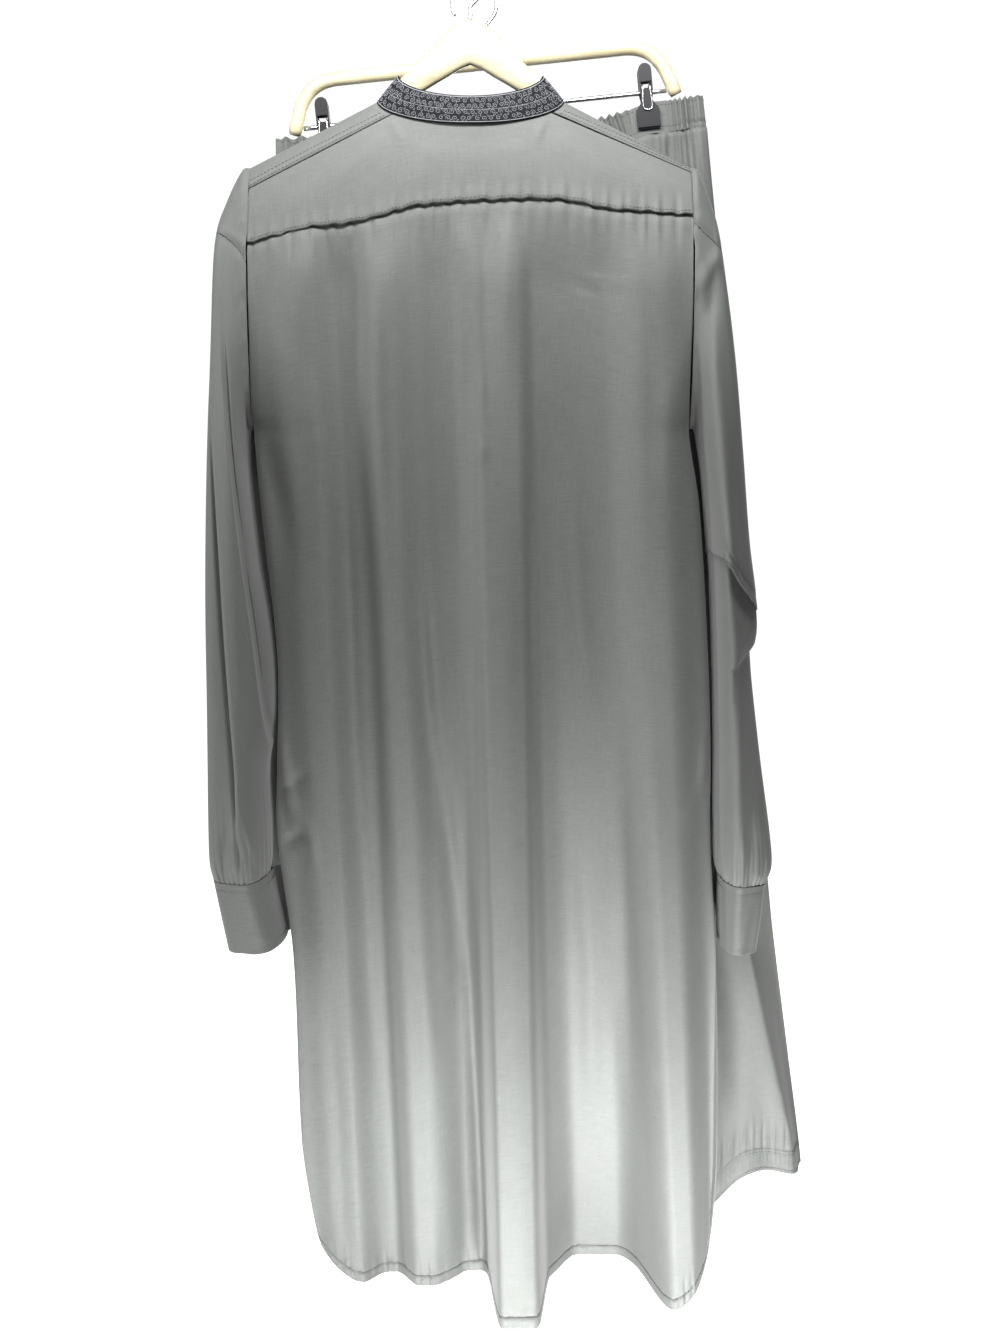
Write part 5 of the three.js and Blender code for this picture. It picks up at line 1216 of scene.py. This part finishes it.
# On the right leg's near layer: how calm the folds are at the hem, how flat the cloth is beyond its
# crest, and how far down the crest that takes to come in.
NEAR_CALM, CREST_FLAT, CREST_FADE = 0.85, 0.97, 130
LEG_SWING = [(205, 240, 0, 17, 16, 44, 3.6)]
LEG_CREASES = {
    "right": [(15, 62, 30, (0.4, 0.02), [(246, -800), (259, -877), (275, -950), (289.5, -1009),
                                         (302, -1058), (316, -1125)]),
              (-5.0, 12, 12, (0.3, 0.3), [(222, -860), (230, -950), (234, -1060)]),
              (-6.5, 6, 5, (0.2, 0.5), [(192.5, -120), (195, -161), (199, -210), (204, -260)]),
              (6.0, 6, 5, (0.15, 0.5), [(201, -120), (205, -165), (211, -215), (218, -300)]),
              (-3.0, 5, 4, (0.25, 0.5), [(176, -126), (180, -161), (184, -206)]),
              (4.0, 4, 4, (0.2, 0.5), [(173, -123), (175, -150), (178, -190)]),
              (-2.4, 4, 3, (0.2, 0.5), [(166, -122), (169, -148), (172, -195)])],
    "left": [(6.5, 20, 8, (0.3, 0.1), [(-150, -500), (-142, -760), (-122, -1150)]),
             (-4.0, 10, 10, (0.3, 0.2), [(-60, -560), (-50, -800), (-40, -1150)]),
             (4.0, 10, 10, (0.3, 0.2), [(-10, -620), (0, -860), (6, -1150)])],
}
# Drop and place of the sharp crest on the right leg's near layer, which turns away beyond it.
LEG_CREST = [(780, 243), (877, 259), (950, 275), (1009, 289.5), (1058, 302), (1125, 317)]
# Height of the right leg's near hem, from the inseam to the outer edge.
NEAR_HEM = [(0, -1140), (0.42, -1141), (0.68, -1106), (0.9, -1107), (1.0, -1110)]
LEG_HEM_BAND, LEG_HEM_ROWS = 24, (3.0, 19.5, 22.5)
# The grid's columns on the near and far layer, with more at the edges, and its rows: through the
# gathers, down the leg, and over the hem band, each up to a share of the way down.
LEG_COLUMNS, LEG_EDGE_COLUMNS = (145, 76), [0.002, 0.005, 0.01, 0.02, 0.98, 0.99, 0.995, 0.998]
LEG_ROWS = [np.linspace(0, 0.12, 24)[:-1], np.linspace(0.12, 0.94, 54)[:-1], np.linspace(0.94, 1, 32)]


def leg_inner(side, z):
    """Inner edge of a leg: the centre seam above the crotch, and the inseam below it."""
    sign, seam = (1 if side == "right" else -1), CENTRE_SEAM
    down = clamp((seam["top_z"] - z) / (seam["top_z"] - seam["crotch_z"]))
    away = np.where(z < seam["crotch_z"], curve(LEG_AWAY[side], -z), 0)
    gap = mix(0.5, 0.95, smooth((seam["crotch_z"] + seam["closing"] - z) / seam["closing"]))
    return mix(seam["top_x"], seam["crotch_x"], down) + sign * (gap + away)


def leg_gathers(x, below):
    """Gathers that run down from the waistband: the close ones fade within a short way, and the
    wide ones grow below the seam first."""
    loose_wide = np.exp(-below / 100) * mix(0.4, 1.7, smooth(below / 14))
    return (gathered(x, WAIST_HEIGHT, GATHER_STEP) * np.exp(-below / 36)
            + gathered(x + 3, WAIST_HEIGHT, WIDE_STEP) * loose_wide)


def leg_hem_relief(x, to_hem):
    """The stiffened hem: puckers above its band and inside it, a thicker band, and a groove along
    each row of stitching."""
    above = 1.3 * ripple(x, 8, 4.0) * bell(to_hem - LEG_HEM_BAND - 10, 12)
    inside = 0.7 * ripple(x, 3.8, 1.0) * bell(to_hem - 13, 7) * (0.4 + 0.6 * np.sin(x / 21) ** 2)
    grooves = sum(bell(to_hem - up, 0.9) for up in LEG_HEM_ROWS)
    return above + inside + 0.7 * smooth((LEG_HEM_BAND - to_hem) / 1.5) - 0.8 * grooves


def leg_place(side, column, row):
    """The leg's surface. Columns run from the centre seam over the layer near the shirt to the
    outer edge, and back over the far layer, from -1 to 1. Below the crotch the two layers close
    at the inseam."""
    outer = LEG_OUTER[side]
    outward, layer = 1 - np.abs(column), np.where(column <= 0, -1, 1)
    waist = np.array(float(WAIST_RIGHT_TOP))
    top_x = mix(leg_inner(side, waist), curve(outer, -waist), outward)
    flared = mix(leg_inner(side, waist), curve(outer, WAIST_HEIGHT - waist_top(top_x)), outward)
    top = waist_top(flared) - WAIST_HEIGHT - 0.55
    hem = mix(LEG_HEM["inner"], LEG_HEM[side], outward)
    if side == "right":
        hem = np.where(layer < 0, curve(NEAR_HEM, outward), hem)
    z = mix(top, hem, row)
    x = mix(leg_inner(side, z), curve(outer, -z), outward)
    down = clamp((top - z) / (top - LEG_HEM["inner"]))
    closed = smooth((CENTRE_SEAM["crotch_z"] - z) / CENTRE_SEAM["closing"])
    to_inner = closed * clamp(1 - outward / INSEAM_SHARE)
    full = round_edge(outward) * round_edge(to_inner)
    half = mix(waist_depth(top_x, 0), LEG_HALF_DEPTH, smooth(down / OPENING_SHARE))
    fading = 1 - NEAR_CALM * smooth((down - 0.55) * 4) * (layer < 0) if side == "right" else 1
    wave = LEG_FOLD_DEPTH * np.cos(2 * math.pi * LEG_FOLDS * outward + layer)
    wave = wave * smooth(down / FOLD_GROWTH) * fading
    swing = np.where(layer < 0, fold_out(LEG_SWING, x, down), 0) if side == "right" else 0
    loose = clip_hold(top_x) * smooth(np.minimum(outward, 1 - outward) / 0.02)
    gathers = GATHER_DEPTH * loose * leg_gathers(top_x, top - z)
    creases = creased(x, z, LEG_CREASES[side]) * smooth(outward * (1 - outward) * 14)
    flat = 1
    if side == "right":
        crest = curve(LEG_CREST, -z)
        beyond = clamp((x - crest) / (curve(outer, -z) - crest))
        flat = 1 - CREST_FLAT * beyond * smooth((-LEG_CREST[0][0] - z) / CREST_FADE) * (layer < 0)
    depth = half + wave * (1 - to_inner) + swing + creases + leg_hem_relief(x, z - hem)
    depth = depth * full * flat - layer * gathers * full
    return np.stack([x, SHALWAR_Y + layer * np.maximum(depth, 0.5 * closed), z], -1)


for side in ("left", "right"):
    near, far = (np.unique(np.concatenate([np.linspace(0, 1, count), LEG_EDGE_COLUMNS]))
                 for count in LEG_COLUMNS)
    columns = np.concatenate([near - 1, 1 - far[::-1][1:]])
    leg_grid = leg_place(side, *np.broadcast_arrays(columns[:, None], np.concatenate(LEG_ROWS)[None, :]))
    leg = sheet_mesh(f"shalwar_leg_cloth_{side}", leg_grid, GREY_CLOTH, flip=side == "left")
    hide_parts(f"shalwar_leg_{side}")
    outward = np.where(columns <= 0, -1, 1)
    stitched_rows(f"shalwar_hem_stitching_{side}",
                  [seam_row(leg_grid, distance, outward, True, 3) for distance in LEG_HEM_ROWS])

# ------------------------------------------------------------------ coat hanger
# Two flat arms of pale varnished wood that meet in a raised neck, and a hook of plated wire
# screwed into the neck. The hook hangs on the rail.

HANGER_TIP, TIP_ROUND, ARM_HEIGHT, HANGER_HALF_THICK, ARM_CLEAR = 186, 14, 15, 5.5, 1.25
NECK_REACH, NECK_BLEND, ARM_SIDES, THICK_SQUARE, HIGH_SQUARE = 70, 8, 24, 0.55, 0.7
HANGER_TOP = [(0, -57.5), (9, -58.5), (20, -67), (30, -77), (45, -92), (61, -106.5), (76, -126.4)]
HANGER_BOTTOM = [(0, -93.5), (9, -97), (20, -103.5), (30, -109), (45, -118), (61, -128), (76, -139)]


def wood_finish(name, dark, light):
    """Straight-grained wood under satin varnish: long streaks, and a few fine pores."""
    finish = Finish(name)
    streaks = finish.noise(finish.place(), 1.0, 4.0, (14, 160, 150))
    pores = finish.noise(finish.place(), 1.0, 2.0, (60, 900, 900))
    grain = streaks * 0.75 + pores * 0.25
    shade = finish.node("ShaderNodeMapRange", (), {0: grain, 1: 0.35, 2: 0.65, 3: 0.0, 4: 1.0})
    return finish.surface(Base_Color=finish.mixed(shade, dark, light), Roughness=grain * 0.2 + 0.3,
                          Coat_Weight=0.3, Coat_Roughness=0.2, Normal=finish.bump(grain, 0.0004, 0.4))


def squared(wave, power):
    """A sine or cosine raised to a power with its sign kept, which squares a round section."""
    return np.sign(wave) * np.abs(wave) ** power


PALE_WOOD = wood_finish("pale_wood", (0.26, 0.235, 0.15), (0.35, 0.32, 0.215))
tip = HANGER_TIP - TIP_ROUND * np.linspace(1, 0, 14) ** 1.6
reach = np.unique(np.round(np.concatenate([np.linspace(0, 80, 34), np.linspace(82, 170, 26), tip]), 4))
x = np.concatenate([-reach[::-1], reach[1:]])
reach = np.abs(x)
arm_top = ridge(x) - ARM_CLEAR
on_arm = smooth((reach - NECK_REACH) / NECK_BLEND)
top = mix(curve(HANGER_TOP, reach), arm_top, on_arm)
bottom = mix(curve(HANGER_BOTTOM, reach), arm_top - ARM_HEIGHT, on_arm)
size = np.sqrt(clamp((HANGER_TIP + 0.02 - reach) / TIP_ROUND))
around = 2 * math.pi * (np.arange(ARM_SIDES) + 0.5) / ARM_SIDES
y = HANGER_HALF_THICK * size[:, None] * squared(np.cos(around), THICK_SQUARE)
half_height = (size * (top - bottom) / 2)[:, None]
z = ((top + bottom) / 2)[:, None] + half_height * squared(np.sin(around), HIGH_SQUARE)
rings = np.stack([np.broadcast_to(x[:, None], y.shape), y, z], -1).transpose(1, 0, 2)
faces = [grid_faces(rings.shape[0], rings.shape[1], True)]
coat_hanger = facing_out(piece_from("coat_hanger_arms", rings.reshape(-1, 3), faces, PALE_WOOD), 0.3)
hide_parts("coat_hanger_body")

STEEL = speckled_finish("plated_steel", (0.50, 0.51, 0.52), (0.72, 0.73, 0.74), 900, (0.15, 0.18),
                        Metallic=1.0)
HOOK_BOW, HOOK_WIRE, HOOK_BEND, HOOK_POINTS, HOOK_TIP_POINTS, HOOK_SIDES = 20, 1.6, -46, 110, 2.0, 18
COAT_HOOK_FOOT, CLIP_HOOK_FOOT = -57.2, -49.7


def hook_path(foot):
    """A question mark: a straight shank, a bend, and a bow of wire that is open to the left."""
    turns = np.radians(np.linspace(-35, 205, 12))
    middle = HOOK_WIRE - HOOK_BOW
    bow = [(HOOK_BOW * math.cos(turn), 0, middle + HOOK_BOW * math.sin(turn)) for turn in turns]
    shank = [(0, 0, foot), (0, 0, (foot + HOOK_BEND) / 2), (0, 0, HOOK_BEND)]
    return smooth_path([*shank, *bow], HOOK_POINTS)


to_tip = clamp((HOOK_POINTS - 1 - np.arange(HOOK_POINTS)) / HOOK_TIP_POINTS)
hook_radius = HOOK_WIRE * np.sqrt(np.maximum(1 - (1 - to_tip) ** 2, 0.01))
coat_hook = tubes("coat_hanger_wire_hook", [hook_path(COAT_HOOK_FOOT)], hook_radius, HOOK_SIDES, STEEL)
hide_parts("coat_hanger_hook")

# ------------------------------------------------------------------ clip hanger
# A rod of yellow varnished wood bent into a wide arch, with a turned neck, a wire hook, a thin steel
# bar across its feet, and on the bar two black plastic clips with wire springs and soft pads.

FRAME_TOP, FRAME_TOP_Z, FRAME_FOOT, FRAME_FOOT_Z, FRAME_CORNER, FRAME_RADIUS = 158, -70, 174.5, -115, 28, 6.2
YELLOW_WOOD = wood_finish("yellow_wood", (0.36, 0.315, 0.19), (0.50, 0.455, 0.31))


def frame_side(sign):
    """Half of the arch: the foot, the leg, a quadratic bend at the corner, and the top."""
    corner = np.array([sign * FRAME_TOP, 0, FRAME_TOP_Z], float)
    foot = np.array([sign * FRAME_FOOT, 0, FRAME_FOOT_Z], float)
    on_leg = mix(corner, foot, FRAME_CORNER / np.linalg.norm(corner - foot))
    on_top = np.array([sign * (FRAME_TOP - FRAME_CORNER), 0, FRAME_TOP_Z], float)
    share = np.linspace(0, 1, 16)[:, None]
    bend = on_leg * (1 - share) ** 2 + corner * 2 * share * (1 - share) + on_top * share ** 2
    return np.concatenate([mix(foot, on_leg, np.linspace(0, 1, 6)[:-1, None]), bend])


right_half = frame_side(1)[::-1]
across_top = mix(frame_side(-1)[-1], right_half[0], np.linspace(0, 1, 60)[1:-1, None])
frame_path = np.concatenate([frame_side(-1), across_top, right_half])
ends = np.minimum(np.arange(len(frame_path)), np.arange(len(frame_path))[::-1])
wood_radius = FRAME_RADIUS * np.where(ends == 0, 0.8, 1.0)
arch_rod = tubes("clip_hanger_arch", [tilted(frame_path)], wood_radius, 20, YELLOW_WOOD)
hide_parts("clip_hanger_frame")
NECK_OUTLINE = [(0.01, -74), (7.2, -73), (8.0, -70), (7.6, -66), (6.6, -63.5), (7.0, -61.5), (7.0, -59),
                (6.3, -57.5), (6.2, -53), (5.6, -50.6), (4.4, -50), (0.01, -50)]
grid = turned(NECK_OUTLINE, 28)[..., [0, 2, 1]]
neck = facing_out(piece_from("clip_hanger_neck", tilted(grid).reshape(-1, 3),
                             [grid_faces(*grid.shape[:2], True)], YELLOW_WOOD))

clip_hook_path = tilted(hook_path(CLIP_HOOK_FOOT))
clip_hook = tubes("clip_hanger_wire_hook", [clip_hook_path], hook_radius, HOOK_SIDES, STEEL)
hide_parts("clip_hanger_hook")
BAR_RADIUS, BAR_POINTS, FOOT_SLANT, BAR_GAP = 2.1, 40, 1.12, 0.35
down = (BAR_Z - FRAME_TOP_Z) / (FRAME_FOOT_Z - FRAME_TOP_Z)
bar_half = mix(FRAME_TOP, FRAME_FOOT, down) - FRAME_RADIUS * FOOT_SLANT - BAR_GAP
x = np.linspace(-bar_half, bar_half, BAR_POINTS)
bar_path = np.stack([x, np.zeros(BAR_POINTS), np.full(BAR_POINTS, BAR_Z)], -1)
bar = tubes("clip_hanger_steel_bar", [tilted(bar_path)], BAR_RADIUS, 16, STEEL)
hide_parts("clip_hanger_bar")

PLASTIC = speckled_finish("black_plastic", (0.004, 0.004, 0.005), (0.010, 0.010, 0.012), 700, (0.15, 0.33),
                          relief=(0.0002, 0.3), Specular_IOR_Level=0.2)
RUBBER = speckled_finish("pad_rubber", (0.16, 0.14, 0.21), (0.24, 0.21, 0.29), 500, (0, 0.75),
                         relief=(0.0002, 0.4))
SPRING_X, SPRING_WIRE, SPRING_FOOT, SPRING_FACE, SPRING_RISE, SPRING_BOW = 3.4, 0.55, -15, 7.0, 2.5, 5
bow = [(SPRING_FACE * math.cos(turn), BAR_Z + SPRING_RISE + SPRING_BOW * math.sin(turn))
       for turn in np.linspace(0, math.pi, 9)]
loop = [(SPRING_FACE, BAR_Z + SPRING_FOOT), *bow, (-SPRING_FACE, BAR_Z + SPRING_FOOT)]
for side, x in (("left", -CLIP_X), ("right", CLIP_X)):
    for half in ("back", "front"):
        for part, finish in (("jaw", PLASTIC), ("pad", RUBBER)):
            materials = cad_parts[f"clip_{side}_{part}_{half}"].data.materials
            materials.clear()
            materials.append(finish)
    path = [(x - SPRING_X, y, z) for y, z in loop] + [(x + SPRING_X, y, z) for y, z in loop[::-1]]
    spring = tubes(f"clip_{side}_wire_spring", [tilted(smooth_path(path, 150))], SPRING_WIRE, 10, STEEL)
    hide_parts(f"clip_{side}_spring")
